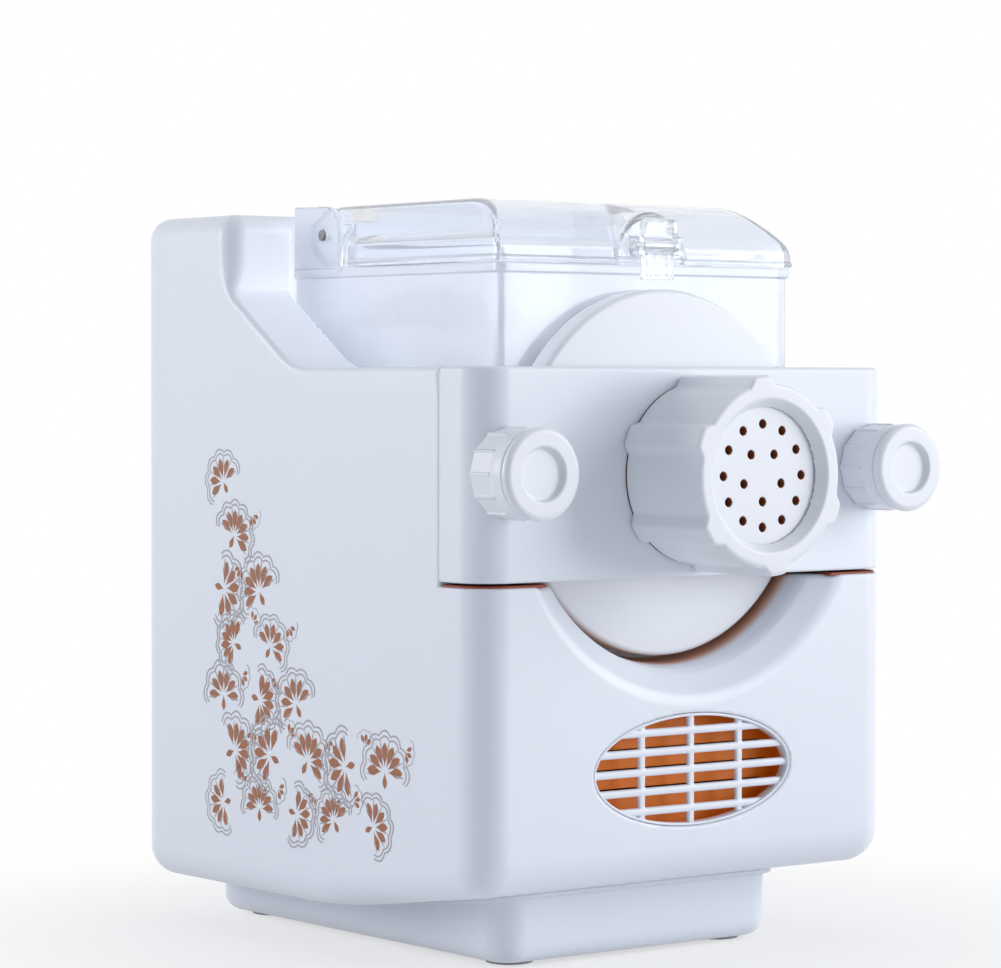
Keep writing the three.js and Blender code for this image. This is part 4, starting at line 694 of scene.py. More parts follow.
def lid_form(x, y, z):
    """The lid as a solid open downwards: a curved bevel in front, straight ones at the sides and a hood."""
    rise = LID_TOP - LID_LOW[2] - LID_EDGE
    along = np.clip((y - LID_FRONT) / LID_BEVEL, 0, 1)
    straight, curved = 2 * LID_BEVEL_SHARE, 1 - 2 * LID_BEVEL_SHARE
    share = (np.sqrt(straight ** 2 + 4 * curved * along) - straight) / (2 * curved)
    height = LID_TOP - rise * (1 - share) ** 2
    slope = 2 * rise * (1 - share) / (straight + 2 * curved * share) / LID_BEVEL
    front = soft_meet((z - height) / np.sqrt(1 + slope ** 2), LID_FRONT - y, LID_ROUND)
    half = BOWL_HALF + RIM_WIDTH
    drop = LID_TOP - LID_LOW[2] - LID_SIDE_EDGE
    side_bevel = ((np.abs(x) - half) * drop + (z - LID_LOW[2] - LID_SIDE_EDGE) * LID_SIDE_BEVEL)
    side_bevel = side_bevel / math.hypot(drop, LID_SIDE_BEVEL)
    side = soft_meet(np.abs(x) - half, side_bevel, LID_ROUND)
    knuckle = np.where(y > HINGE_Y, length(y - HINGE_Y, z - HINGE_Z) - KNUCKLE, z - LID_TOP)
    form = soft_meet(soft_meet(front, side, LID_ROUND), knuckle, KNUCKLE_EDGE)
    notch = meet(BOWL_HALF - EAR - FIT - np.abs(x), HINGE_Y - KNUCKLE - KNUCKLE_SWING - y)
    form = soft_meet(form, -notch, KNUCKLE_EDGE)
    arch = ellipse(x, np.maximum(z - LID_LOW[2], 0), HOOD_HALF, HINGE_Z + HOOD_RISE - LID_LOW[2])
    hood = soft_meet(arch, slab(y, LID_FRONT, LID_FRONT + HOOD_DEPTH), HOOD_EDGE)
    return soft_union(form, hood, HOOD_JOIN)


def lid(x, y, z):
    form = lid_form(x, y, z)
    shell = meet(form, -(form + LID_WALL))
    bead_width, bead_height = LID_BEAD
    bead = meet(form - bead_width, -form - LID_WALL / 2, z - LID_LOW[2] - bead_height,
                y - HINGE_Y + KNUCKLE + BEAD_END)
    shell = soft_union(shell, bead, BEAD_JOIN)
    pivot_y, pivot_z = LATCH_PIVOT
    lug = meet(slab(np.abs(x), *LUG), slab(y, pivot_y - LATCH_BARREL, LID_FRONT + LID_WALL / 2),
               np.abs(z - pivot_z) - LUG_HALF_HEIGHT)
    shell = soft_meet(union(shell, lug), LID_LOW[2] - z, LID_RIM_EDGE)
    latch_pin = meet(length(y - pivot_y, z - pivot_z) - LATCH_PIN_ROOM, np.abs(x) - HOOD_HALF)
    return meet(shell, -latch_pin, PIN_HOLE - length(y - HINGE_Y, z - HINGE_Z))


def lid_latch(x, y, z):
    pivot_y, pivot_z = LATCH_PIVOT
    rib_low, rib_high = LATCH_RIB_MARGINS
    plate_height = slab(z, LATCH_LOW[2], LATCH_HIGH[2] - LATCH_PLATE_DROP)
    plate = meet(np.abs(y - pivot_y) - LATCH_PLATE_HALF, plate_height)
    barrel = length(y - pivot_y, z - pivot_z) - LATCH_BARREL
    thumb_rise = (z - LATCH_HIGH[2] + THUMB_DROP) / THUMB_STRETCH_SHARE
    thumb = length(y - pivot_y + THUMB_OUT, thumb_rise) - THUMB_RADIUS
    near_rib = x - np.clip(np.round(x / LATCH_RIB_SPACING), -1, 1) * LATCH_RIB_SPACING
    rib = meet(np.abs(near_rib) - LATCH_RIB_HALF, slab(y, pivot_y - LATCH_RIB_DEPTH, pivot_y),
               slab(z, LATCH_LOW[2] + rib_low, pivot_z - rib_high))
    pivoted = soft_union(plate, barrel, LATCH_BARREL_JOIN)
    form = soft_union(pivoted, soft_union(thumb, rib, LATCH_RIB_JOIN), LATCH_JOIN)
    form = soft_meet(form, np.abs(x) - LATCH_HALF, LATCH_EDGE)
    form = meet(form, LATCH_LOW[1] - y, z - LATCH_HIGH[2])
    return meet(form, LATCH_PIN - length(y - pivot_y, z - pivot_z))


# Meshes
def lines(start, *stretches):
    """Grid lines from start on, in stretches of (end, step)."""
    stops = [np.array([start])]
    for end, step in stretches:
        count = max(round((end - start) / step), 1)
        stops.append(np.linspace(start, end, count + 1)[1:])
        start = end
    return np.concatenate(stops).astype(np.float32)


def even_grid(low, high, step):
    margin = MARGIN_STEPS * step
    return [lines(low[k] - margin, (high[k] + margin, step)) for k in range(3)]


def housing_grid():
    """Fine lines at the corners, the recess, the vent and the deck, and coarse ones along the flats."""
    side = HALF_WIDTH + GRID_MARGIN
    ramp_foot = TOWER_Y - RAMP_LENGTH
    tower_start, tower_end = TOWER_ZONE
    return [
        lines(-side, (side, HOUSING_STEP)),
        lines(FRONT - GRID_MARGIN, (FRONT + FRONT_ZONE, HOUSING_STEP), (ramp_foot - RAMP_ZONE, COARSE_STEP),
              (ramp_foot + RAMP_ZONE, RAMP_STEP), (TOWER_Y + tower_start, COARSE_STEP),
              (TOWER_Y + tower_end, HOUSING_STEP), (REAR - REAR_ZONE, COARSE_STEP),
              (REAR + GRID_MARGIN, HOUSING_STEP)),
        lines(FLOOR - GRID_MARGIN, (AXIS - BEVEL_RADIUS - VENT_ZONE, LOWER_STEP),
              (BAR_LOW[2] + SEAM_ZONE, HOUSING_STEP), (DECK - DECK_ZONE, COARSE_STEP),
              (DECK + RAMP_RISE + RAMP_TOP_ZONE, HOUSING_STEP), (TOP - TOP_ZONE, COARSE_STEP),
              (TOP + GRID_MARGIN, HOUSING_STEP)),
    ]


def slope_at(field, points):
    value = field(*points.T)
    slope = np.empty_like(points)
    for k in range(3):
        ahead, behind = points.copy(), points.copy()
        ahead[:, k] += SLOPE_STEP
        behind[:, k] -= SLOPE_STEP
        slope[:, k] = (field(*ahead.T) - field(*behind.T)) / (2 * SLOPE_STEP)
    return value, slope


def surface(field, grid):
    """The surface of a field: points pulled onto it, their faces and their normals."""
    x, y, z = grid[0][:, None, None], grid[1][None, :, None], grid[2][None, None, :]
    shape = tuple(len(line) for line in grid)
    limit = LIMIT_STEPS * max(np.diff(line).max() for line in grid)
    values = np.clip(np.broadcast_to(field(x, y, z), shape), -limit, limit).astype(np.float32)
    volume = openvdb.FloatGrid()
    volume.background = float(limit)
    volume.copyFromArray(values)
    found, triangles, quads = volume.convertToPolygons(isovalue=0.0, adaptivity=0)
    points = np.stack([np.interp(found[:, k], np.arange(shape[k]), grid[k]) for k in range(3)], axis=1)
    for _ in range(PULLS):
        value, slope = slope_at(field, points)
        size = np.maximum((slope ** 2).sum(axis=1), LEAST_SLOPE)
        points -= np.clip(slope * (value / size)[:, None], -limit / LIMIT_STEPS, limit / LIMIT_STEPS)
    _, slope = slope_at(field, points)
    normals = slope / np.maximum(np.linalg.norm(slope, axis=1), TINY)[:, None]
    return points, triangles.tolist() + quads.tolist(), normals


def link(name, mesh, body, nodes, *materials):
    piece = bpy.data.objects.new(name, mesh)
    bpy.context.scene.collection.objects.link(piece)
    for material in materials:
        mesh.materials.append(material)
    piece.visible_shadow = CLEAR not in materials and MILKY not in materials
    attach(piece, body)
    if nodes:
        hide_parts(*nodes)
    return piece


def moulded(name, field, grid, body, nodes, *materials, paint=None):
    """A moulded piece: the surface of a field, its flats made of few faces, tile by tile.
    paint gives each face its material from the face centres and normals."""
    points, faces, normals = surface(field, grid)
    mesh = bpy.data.meshes.new(name)
    mesh.from_pydata((points * MM).tolist(), [], faces)
    store = mesh.attributes.new("field_normal", "FLOAT_VECTOR", "POINT")
    store.data.foreach_set("vector", normals.astype(np.float32).ravel())
    centres = np.array([points[list(face)].mean(axis=0) for face in faces])
    tiles = np.floor(centres / TILE).astype(int) @ np.array(TILE_WEIGHTS) % TILE_INDICES
    mesh.polygons.foreach_set("material_index", tiles.astype(np.int32))
    form = bmesh.new()
    form.from_mesh(mesh)
    bmesh.ops.dissolve_limit(form, angle_limit=FLAT_ANGLE, use_dissolve_boundaries=False, verts=form.verts,
                             edges=form.edges, delimit={"MATERIAL"})
    bmesh.ops.triangulate(form, faces=[face for face in form.faces if len(face.verts) > 4])
    form.to_mesh(mesh)
    form.free()
    kept = np.empty(len(mesh.vertices) * 3, dtype=np.float32)
    mesh.attributes["field_normal"].data.foreach_get("vector", kept)
    mesh.attributes.remove(mesh.attributes["field_normal"])
    index = np.zeros(len(mesh.polygons), dtype=np.int32)
    if paint:
        facts = [np.empty(len(index) * 3, dtype=np.float32) for _ in range(2)]
        mesh.polygons.foreach_get("center", facts[0])
        mesh.polygons.foreach_get("normal", facts[1])
        index = paint(facts[0].reshape(-1, 3) / MM, facts[1].reshape(-1, 3)).astype(np.int32)
    mesh.polygons.foreach_set("material_index", index)
    mesh.shade_smooth()
    mesh.normals_split_custom_set_from_vertices(kept.reshape(-1, 3))
    return link(name, mesh, body, nodes, *materials)


def arc(radius, along, size, start, end, steps=6):
    """Profile points on a circle of the given size round (radius, along), from start to end in degrees."""
    angles = [math.radians(start + (end - start) * i / steps) for i in range(steps + 1)]
    return [(radius + size * math.cos(a), along + size * math.sin(a)) for a in angles]


def closed_mesh(name, form):
    bmesh.ops.recalc_face_normals(form, faces=form.faces)
    mesh = bpy.data.meshes.new(name)
    form.to_mesh(mesh)
    form.free()
    return mesh


def turned(name, profile, centre, body, nodes, material, upright=False, sides=TURNED_SIDES):
    """A closed profile of (radius, place along the axis), turned about a line along Y or an upright one."""
    form = bmesh.new()
    rings = []
    for radius, along in profile:
        ring = []
        for i in range(sides if radius > TINY else 1):
            across = radius * math.cos(TURN * i / sides), radius * math.sin(TURN * i / sides)
            spot = (across[0], across[1], along) if upright else (across[0], along, across[1])
            ring.append(form.verts.new([(a + b) * MM for a, b in zip(spot, centre)]))
        rings.append(ring)
    for ring, after in zip(rings, rings[1:] + rings[:1]):
        for i in range(sides):
            j = (i + 1) % sides
            corners = [ring[i % len(ring)], ring[j % len(ring)], after[j % len(after)], after[i % len(after)]]
            corners = list(dict.fromkeys(corners))
            if len(corners) > 2:
                form.faces.new(corners)
    mesh = closed_mesh(name, form)
    mesh.shade_smooth()
    mesh.set_sharp_from_angle(angle=SHARP_ANGLE)
    return link(name, mesh, body, nodes, material)


# Materials. Depths are in metres, as the object coordinates are
GRAIN_DEPTH = 0.0002
GLOSS_SPREAD = 0.05
HAZE_SPREAD = 0.15
CLOUD_SPREAD = 0.015
CLOUD_SCALE = 25
PLASTIC_SPREAD = 0.006
PLASTIC_SPOT = 30
PLASTIC_IOR = 1.46


def node_material(name):
    """A new material with its nodes, links and shader, and the socket that gives places on the object."""
    material = bpy.data.materials.new(name)
    material.use_nodes = True
    nodes = material.node_tree.nodes
    place = nodes.new("ShaderNodeTexCoord").outputs["Object"]
    return material, nodes, material.node_tree.links, nodes["Principled BSDF"], place


def noise(nodes, links, place, scale, detail=3):
    node = nodes.new("ShaderNodeTexNoise")
    node.inputs["Scale"].default_value = scale
    node.inputs["Detail"].default_value = detail
    links.new(place, node.inputs["Vector"])
    return node.outputs["Fac"]


def mixed(nodes, links, factor, first, second):
    """A colour mix. Each of first and second is a colour or a socket."""
    node = nodes.new("ShaderNodeMix")
    node.data_type = "RGBA"
    links.new(factor, node.inputs["Factor"])
    for socket, value in zip(node.inputs[6:8], (first, second)):
        if isinstance(value, tuple):
            socket.default_value = (*value, 1)
        else:
            links.new(value, socket)
    return node.outputs[2]


def mottled(nodes, links, factor, colour, spread):
    darker = tuple(c * (1 - spread) for c in colour)
    lighter = tuple(min(c * (1 + spread), 1) for c in colour)
    return mixed(nodes, links, factor, darker, lighter)


def ranged(nodes, links, value, start=(0, 1), end=(0, 1), way="LINEAR"):
    """A value taken from one range to another."""
    node = nodes.new("ShaderNodeMapRange")
    node.interpolation_type = way
    for name, number in zip(("From Min", "From Max", "To Min", "To Max"), (*start, *end)):
        node.inputs[name].default_value = number
    links.new(value, node.inputs["Value"])
    return node.outputs["Result"]


def computed(nodes, links, operation, first, second):
    node = nodes.new("ShaderNodeMath")
    node.operation = operation
    links.new(first, node.inputs[0])
    links.new(second, node.inputs[1])
    return node.outputs[0]


def finish(name, colour, roughness, spread=0.03, skin=900, bump=0.03, metallic=0.0, spot=70):
    """A finish with a faint mottle in its colour and gloss, and a very fine skin."""
    material, nodes, links, shader, place = node_material(name)
    mottle = noise(nodes, links, place, spot)
    links.new(mottled(nodes, links, mottle, colour, spread), shader.inputs["Base Color"])
    gloss = (roughness * (1 - GLOSS_SPREAD), roughness * (1 + GLOSS_SPREAD))
    links.new(ranged(nodes, links, mottle, end=gloss), shader.inputs["Roughness"])
    grain = nodes.new("ShaderNodeBump")
    grain.inputs["Strength"].default_value = bump
    grain.inputs["Distance"].default_value = GRAIN_DEPTH
    links.new(noise(nodes, links, place, skin), grain.inputs["Height"])
    links.new(grain.outputs["Normal"], shader.inputs["Normal"])
    shader.inputs["Metallic"].default_value = metallic
    return material


def painted_depth_shade_finish(name, colour, shade_colour, roughness, depths):
    """A white finish with painted warm shade: it turns to a second colour between two depths behind the
    front.
    """
    material, nodes, links, shader, place = node_material(name)
    parts = nodes.new("ShaderNodeSeparateXYZ")
    links.new(place, parts.inputs[0])
    depth = ranged(nodes, links, parts.outputs["Y"], start=[v * MM for v in depths], way="SMOOTHSTEP")
    pale = mottled(nodes, links, noise(nodes, links, place, PLASTIC_SPOT), colour, PLASTIC_SPREAD)
    links.new(mixed(nodes, links, depth, pale, shade_colour), shader.inputs["Base Color"])
    shader.inputs["Roughness"].default_value = roughness
    return material


def clear_finish(name, colour, roughness, milky):
    """Clear plastic with a little milk in it, cloudier in places."""
    material, nodes, links, shader, place = node_material(name)
    cloud = noise(nodes, links, place, CLOUD_SCALE)
    darker = tuple(c * (1 - CLOUD_SPREAD) for c in colour)
    links.new(mixed(nodes, links, cloud, colour, darker), shader.inputs["Base Color"])
    clarity = (1 - milky * (1 + HAZE_SPREAD), 1 - milky * (1 - HAZE_SPREAD))
    links.new(ranged(nodes, links, cloud, end=clarity), shader.inputs["Transmission Weight"])
    shader.inputs["Roughness"].default_value = roughness
    shader.inputs["IOR"].default_value = PLASTIC_IOR
    return material


WHITE_COLOUR = (0.80, 0.835, 0.90)
WHITE_ROUGHNESS = 0.34
WHITE = finish("white_plastic", WHITE_COLOUR, WHITE_ROUGHNESS, spread=PLASTIC_SPREAD, spot=PLASTIC_SPOT)
FITTING = finish("fitting_plastic", (0.80, 0.825, 0.87), 0.30, spread=PLASTIC_SPREAD, spot=PLASTIC_SPOT)
# Painted shade: dark browns for the walls of the die's holes, the gap behind the nut and the seam under the
# crossbar
HOLE_SHADE = finish("painted_hole_shade", (0.30, 0.10, 0.035), 0.6, spread=0.1)
GAP_SHADE = finish("painted_gap_shade", (0.13, 0.055, 0.035), 0.6, spread=0.1)
SEAM_SHADE = finish("painted_seam_shade", (0.30, 0.06, 0.03), 0.6, spread=0.1)
RUBBER = finish("rubber", (0.36, 0.375, 0.40), 0.7, spread=0.06, bump=0.08)
NYLON = finish("nylon", (0.72, 0.69, 0.60), 0.5)
CLEAR = clear_finish("clear_plastic", (0.92, 0.95, 1.0), 0.05, 0.14)
MILKY = clear_finish("milky_plastic", (0.86, 0.89, 0.95), 0.08, 0.42)
# Painted warm shade, deep in the recess round the disc and in the seam under the crossbar
RECESS_SHADE = painted_depth_shade_finish("painted_recess_shade", WHITE_COLOUR, (0.60, 0.30, 0.19), WHITE_ROUGHNESS, SHADE_DEPTHS)
PRINT_BROWN = finish("print_brown", (0.33, 0.115, 0.045), 0.5, spread=0.2, spot=240)
PRINT_GREY = finish("print_grey", (0.42, 0.40, 0.43), 0.5, spread=0.15, spot=240)

SLOT_FINISH = {
    "white_housing": WHITE,
    "white_base": WHITE,
    "white_fittings": FITTING,
    "clear_plastic": CLEAR,
    "grey_rubber": RUBBER,
    "nylon": NYLON,
    "grey_buttons": finish("button_plastic", (0.45, 0.47, 0.50), 0.4),
    "orange_tray": finish("orange_plastic", (0.88, 0.225, 0.0), 0.5, spread=0.06),
    "black_plastic": finish("black_plastic", (0.022, 0.023, 0.026), 0.45, spread=0.2),
    "circuit_board": finish("circuit_board", (0.03, 0.16, 0.07), 0.4, spread=0.25, spot=260),
    "steel": finish("steel", (0.56, 0.57, 0.58), 0.28, metallic=1.0, bump=0.06),
    "dark_steel": finish("dark_steel", (0.20, 0.205, 0.21), 0.42, metallic=1.0, bump=0.1),
    "brass": finish("brass", (0.70, 0.50, 0.20), 0.3, metallic=1.0, bump=0.06),
}
NODE_FINISH = {"lid_magnet": NYLON}


def finish_nodes():
    """The CAD nodes that stay in view get the same finishes, by their material slots."""
    for piece in frame["nodes"].values():
        mesh = piece.data
        for slot in piece.material_slots:
            name = slot.material.name.split(".")[0]
            slot.material = NODE_FINISH.get(piece.name, SLOT_FINISH[name])
        mesh.shade_smooth()
        mesh.set_sharp_from_angle(angle=SHARP_ANGLE)


# Print on the left side: flowers as fans of petals with lace round them, thin plates on the wall
PRINT_DEPTH = 0.08
PRINT_PROUD = 0.05
PRINT_LAYER = 0.004
PRINT_LAYERS = 23
PRINT_RISE = 20.8
PRINT_RUN = 25.0
PRINT_START = (72.0, 52.0)
PRINT_STEPS = (5, 5, 3, 2, 2, 1, 1)
ROW_SHIFT_SHARE = 0.3
TURN_STEP = 34
FLOWER_SIZE = 15.0
FLOWER_PETALS = 6
FLOWER_SPREAD = math.radians(215)
TEARDROP_POWER = 1.6
LEAST_REACH = 1.0
SIZE_SHARE = 0.86
SIZE_STEP_SHARE = 0.08

# Start, end and half width of each kind of petal, and the lace, as shares of a flower's or a bud's size
PETAL_SHARES = (0.14, 0.72, 0.125)
HEART_SHARES = (0.0, 0.4, 0.09)
VEIN_SHARES = (0.3, 0.78, 0.022)
FAN_SHARE = 0.82
VEIN_FAN_SHARE = 0.9
LACE_SHARES = (0.8, 0.92)
LACE_WIDTH_SHARE = 0.05
SCALLOP_SHARE = 0.12
BUD_SIZE_SHARE = 0.6
BUD_RISE_SHARE = 0.42
BUD_TURN = 2.0
BUD_SPREAD = math.radians(150)
BUD_LOBES = 4
BUD_PETAL_TURNS = (-42, 0, 42)
BUD_PETAL_SHARES = (0.1, 0.5, 0.1)
BUD_LACE_SHARE = 0.62
BUD_LACE_WIDTH_SHARE = 0.035


def turned_point(centre, angle, reach):
    return centre[0] + reach * math.cos(angle), centre[1] + reach * math.sin(angle)


def petal(centre, angle, size, shares, steps=7):
    """A teardrop that points away from the centre."""
    start, end, half_width = [size * share for share in shares]
    sides = []
    for side in (1, -1):
        for i in range(steps + 1):
            share = i / steps if side > 0 else 1 - i / steps
            reach = start + (end - start) * share
            turn = side * half_width * math.sin(math.pi * share ** TEARDROP_POWER) / max(reach, LEAST_REACH)
            if i > 0 or side > 0:
                sides.append(turned_point(centre, angle + turn, reach))
    return sides[:-1]


def lace(centre, angle, reach, spread, lobes, width, steps=6):
    """A scalloped strip round a fan of petals."""
    outer, inner = [], []
    for i in range(lobes * steps + 1):
        share = i / (lobes * steps)
        turn = angle + spread * (share - 0.5)
        wave = reach * (1 + SCALLOP_SHARE * abs(math.sin(math.pi * lobes * share)))
        outer.append(turned_point(centre, turn, wave))
        inner.append(turned_point(centre, turn, wave - width))
    return outer + inner[::-1]


def flower(centre, size, angle, petals):
    """The petals of one flower and the lace lines round it."""
    fan = [petal(centre, angle + FLOWER_SPREAD * (i / (petals - 1) - 0.5) * FAN_SHARE, size, PETAL_SHARES)
           for i in range(petals)]
    heart = petal(centre, angle + math.pi, size, HEART_SHARES)
    outlines = [lace(centre, angle, size * reach, FLOWER_SPREAD, petals, size * LACE_WIDTH_SHARE)
                for reach in LACE_SHARES]
    veins = [petal(centre, angle + FLOWER_SPREAD * (i / petals - 0.5) * VEIN_FAN_SHARE, size, VEIN_SHARES)
             for i in range(petals + 1)]
    return [*fan, heart], [*outlines, *veins]


def bud(centre, size, angle):
    """A small bud: one petal with two leaves and a ring of lace."""
    petals = [petal(centre, angle + math.radians(turn), size, BUD_PETAL_SHARES) for turn in BUD_PETAL_TURNS]
    outline = lace(centre, angle, size * BUD_LACE_SHARE, BUD_SPREAD, BUD_LOBES, size * BUD_LACE_WIDTH_SHARE)
    return petals, [outline]


def plates(name, shapes, material):
    """Thin closed plates on the left side from outlines of (along, up) points."""
    form = bmesh.new()
    for k, shape in enumerate(shapes):
        proud = PRINT_PROUD + PRINT_LAYER * (k % PRINT_LAYERS)
        layers = [[form.verts.new([v * MM for v in (x, along, up)]) for along, up in shape]
                  for x in (PRINT_DEPTH - HALF_WIDTH, -HALF_WIDTH - proud)]
        form.faces.new(layers[0])
        form.faces.new(layers[1][::-1])
        for i in range(len(shape)):
            j = (i + 1) % len(shape)
            form.faces.new([layers[0][j], layers[0][i], layers[1][i], layers[1][j]])
    return link(name, closed_mesh(name, form), "root", [], material)


def side_print():
    """Flowers in steps, full rows at the foot of the side and fewer towards its top, and buds between."""
    brown, grey = [], []
    start_along, start_up = PRINT_START
    for row, count in enumerate(PRINT_STEPS):
        for column in range(count):
            kind = row * 5 + column * 3
            along = start_along - PRINT_RUN * (column + ROW_SHIFT_SHARE * (row % 2))
            centre = (along, start_up + PRINT_RISE * row)
            angle = math.radians(90 + (kind % 7 - 3) * TURN_STEP)
            between = (centre[0] - PRINT_RUN / 2, centre[1] + PRINT_RISE * BUD_RISE_SHARE)
            size = FLOWER_SIZE * (SIZE_SHARE + SIZE_STEP_SHARE * (kind % 3))
            found = [flower(centre, size, angle, FLOWER_PETALS + kind % 2)]
            if column < count - 1 or row % 2:
                found.append(bud(between, FLOWER_SIZE * BUD_SIZE_SHARE, angle + BUD_TURN))
            for petals, outlines in found:
                brown += petals
                grey += outlines
    plates("print_petals", brown, PRINT_BROWN)
    plates("print_lace", grey, PRINT_GREY)


# Camera, from a fit to the photograph's edges and circles. Its place is in metres and its turns in degrees
PHOTO_WIDTH = 1001
FOCAL_PIXELS = 3620.03
SENSOR = 36.0
CAMERA_PLACE = (-0.87107, -1.10980, 0.21563)
CAMERA_TURN = -37.5
CAMERA_DROP = 1.61
CAMERA_ROLL = 0.06

# Light and floor, in metres and watts: each lamp's place, what it aims at, its width and its power
AMBIENT = (0.34, 0.362, 0.412)
LAMPS = {
    "left": ((-2.0, 1.5, 0.8), (0, 0, 0.14), 1.2, 25),
    "front": ((2.0, -1.75, 0.8), (0, 0, 0.14), 2.0, 52),
    "top": ((0.1, -0.1, 2.0), (0, 0, 0.1), 1.4, 4),
}
FLOOR_SIZE = 12
FLOOR_DROP = 0.0002
FLOOR_ROUGHNESS = 0.9
FLOOR_SCALE = 3
FLOOR_COLOURS = ((0.88, 0.885, 0.9), (0.9, 0.905, 0.92))
FLOOR_FADE = (0.08, 0.34)
FLOOR_GLOW_SHARE = 0.6


def camera():
    data = bpy.data.cameras.new("camera")
    data.sensor_width = SENSOR
    data.lens = FOCAL_PIXELS * SENSOR / PHOTO_WIDTH
    seen = bpy.data.objects.new("camera", data)
    seen.location = CAMERA_PLACE
    seen.rotation_euler = (
        Euler((math.radians(90 - CAMERA_DROP), 0, math.radians(CAMERA_TURN))).to_matrix()
        @ Euler((0, 0, math.radians(CAMERA_ROLL))).to_matrix()).to_euler()
    bpy.context.scene.collection.objects.link(seen)
    bpy.context.scene.camera = seen


def area_light(name, place, aim, size, power):
    data = bpy.data.lights.new(name, "AREA")
    data.shape = "SQUARE"
    data.size = size
    data.energy = power
    lamp = bpy.data.objects.new(name, data)
    lamp.location = place
    lamp.rotation_euler = (Vector(aim) - Vector(place)).to_track_quat("-Z", "Y").to_euler()
    bpy.context.scene.collection.objects.link(lamp)


def seen_directly(nodes, links):
    """1 for camera, glossy and transmission rays."""
    path = nodes.new("ShaderNodeLightPath").outputs
    either = computed(nodes, links, "MAXIMUM", path["Is Camera Ray"], path["Is Glossy Ray"])
    return computed(nodes, links, "MAXIMUM", either, path["Is Transmission Ray"])


def world():
    background = bpy.data.worlds.new("studio")
    background.use_nodes = True
    nodes, links = background.node_tree.nodes, background.node_tree.links
    colour = mixed(nodes, links, seen_directly(nodes, links), AMBIENT, (1.0, 1.0, 1.0))
    links.new(colour, nodes["Background"].inputs["Color"])
    bpy.context.scene.world = background


def floor():
    """A pale floor that keeps the object's shadow and turns plain white away from it."""
    bpy.ops.mesh.primitive_plane_add(size=FLOOR_SIZE, location=(0, 0, -FLOOR_DROP))
    plane = bpy.context.object
    plane.name = "floor"
    material, nodes, links, shader, place = node_material("floor")
    shader.inputs["Roughness"].default_value = FLOOR_ROUGHNESS
    mottle = noise(nodes, links, place, FLOOR_SCALE)
    links.new(mixed(nodes, links, mottle, *FLOOR_COLOURS), shader.inputs["Base Color"])
    reach = nodes.new("ShaderNodeVectorMath")
    reach.operation = "LENGTH"
    links.new(place, reach.inputs[0])
    fade = ranged(nodes, links, reach.outputs["Value"], FLOOR_FADE, (FLOOR_GLOW_SHARE, 1), "SMOOTHSTEP")
    both = computed(nodes, links, "MULTIPLY", fade, seen_directly(nodes, links))
    glow = nodes.new("ShaderNodeEmission")
    mix = nodes.new("ShaderNodeMixShader")
    links.new(both, mix.inputs[0])
    links.new(shader.outputs[0], mix.inputs[1])
    links.new(glow.outputs[0], mix.inputs[2])
    links.new(mix.outputs[0], nodes["Material Output"].inputs["Surface"])
    plane.data.materials.append(material)


# Pieces of the scene
def painted_shade_faces(centres, _normals):
    """The walls of the recess and of the seam under the crossbar, which get painted shade that turns orange
    with depth.
    """
    x, y, z = centres.T
    recessed = (length(x, z - AXIS) < BEVEL_RADIUS) & (z < BAR_LOW[2] + OVERLAP)
    under_bar = (np.abs(x) < HALF_WIDTH - SEAM_INSET) & (np.abs(z - BAR_LOW[2]) < SEAM_REACH)
    return (recessed | under_bar) & (y > FRONT + OVERLAP) & (y < TOWER_Y + WALL)


def hole_walls(centres, normals):
    """The faces of the die's holes, which get painted shade: near its middle and not facing along its axis.
    """
    x, _, z = centres.T
    return (length(x, z - AXIS) < BARREL_RADIUS - HOLE_MARGIN) & (np.abs(normals[:, 1]) < WALL_NORMAL_SHARE)


def node_moulding(name, field, step, body, node, *materials, paint=None):
    """A moulding on an even grid over the box of the node that it replaces."""
    moulded(f"{name}_moulding", field, even_grid(*box_of(node), step), body, [node], *materials, paint=paint)


def mouldings():
    grille_low = (GRILLE_LOW[0], FRONT, GRILLE_LOW[2])
    base_low = (BASE_LOW[0], BASE_LOW[1], BASE_BOTTOM)
    base_high = (BASE_HIGH[0], BASE_REAR, BASE_HIGH[2])
    # The housing and the crossbar get painted warm shade in the recess and the seam, and the die painted
    # shade in its holes
    moulded("housing_moulding", housing, housing_grid(), "root", ["main_housing"], WHITE, RECESS_SHADE,
            paint=painted_shade_faces)
    moulded("vent_grille_moulding", vent_grille, even_grid(grille_low, GRILLE_HIGH, GRILLE_STEP), "root",
            ["vent_grille"], WHITE)
    moulded("base_moulding", base_tray, even_grid(base_low, base_high, BASE_STEP), "root",
            ["base_tray"], WHITE)
    node_moulding("cover", rear_cover, COVER_STEP, "root", "rear_cover", WHITE)
    node_moulding("panel", control_panel, PANEL_STEP, "root", "control_panel", WHITE)
    node_moulding("crossbar", crossbar, CROSSBAR_STEP, "front_unit", "crossbar", WHITE, RECESS_SHADE, paint=painted_shade_faces)
    node_moulding("nut", nozzle_nut, NUT_STEP, "nut", "nozzle_nut", FITTING)
    node_moulding("die", die_plate, DIE_STEP, "die", "die_plate", FITTING, HOLE_SHADE, paint=hole_walls)
    for knob in ("left_knob", "right_knob"):
        low, high = box_of(knob)
        node_moulding(knob, knob_at((low[0] + high[0]) / 2), KNOB_STEP, knob, knob, FITTING)
    node_moulding("bowl", mixing_bowl, BOWL_STEP, "bowl", "mixing_bowl", MILKY)
    node_moulding("lid", lid, LID_STEP, "lid", "lid", CLEAR)
    node_moulding("latch", lid_latch, LATCH_STEP, "latch", "lid_latch", CLEAR)


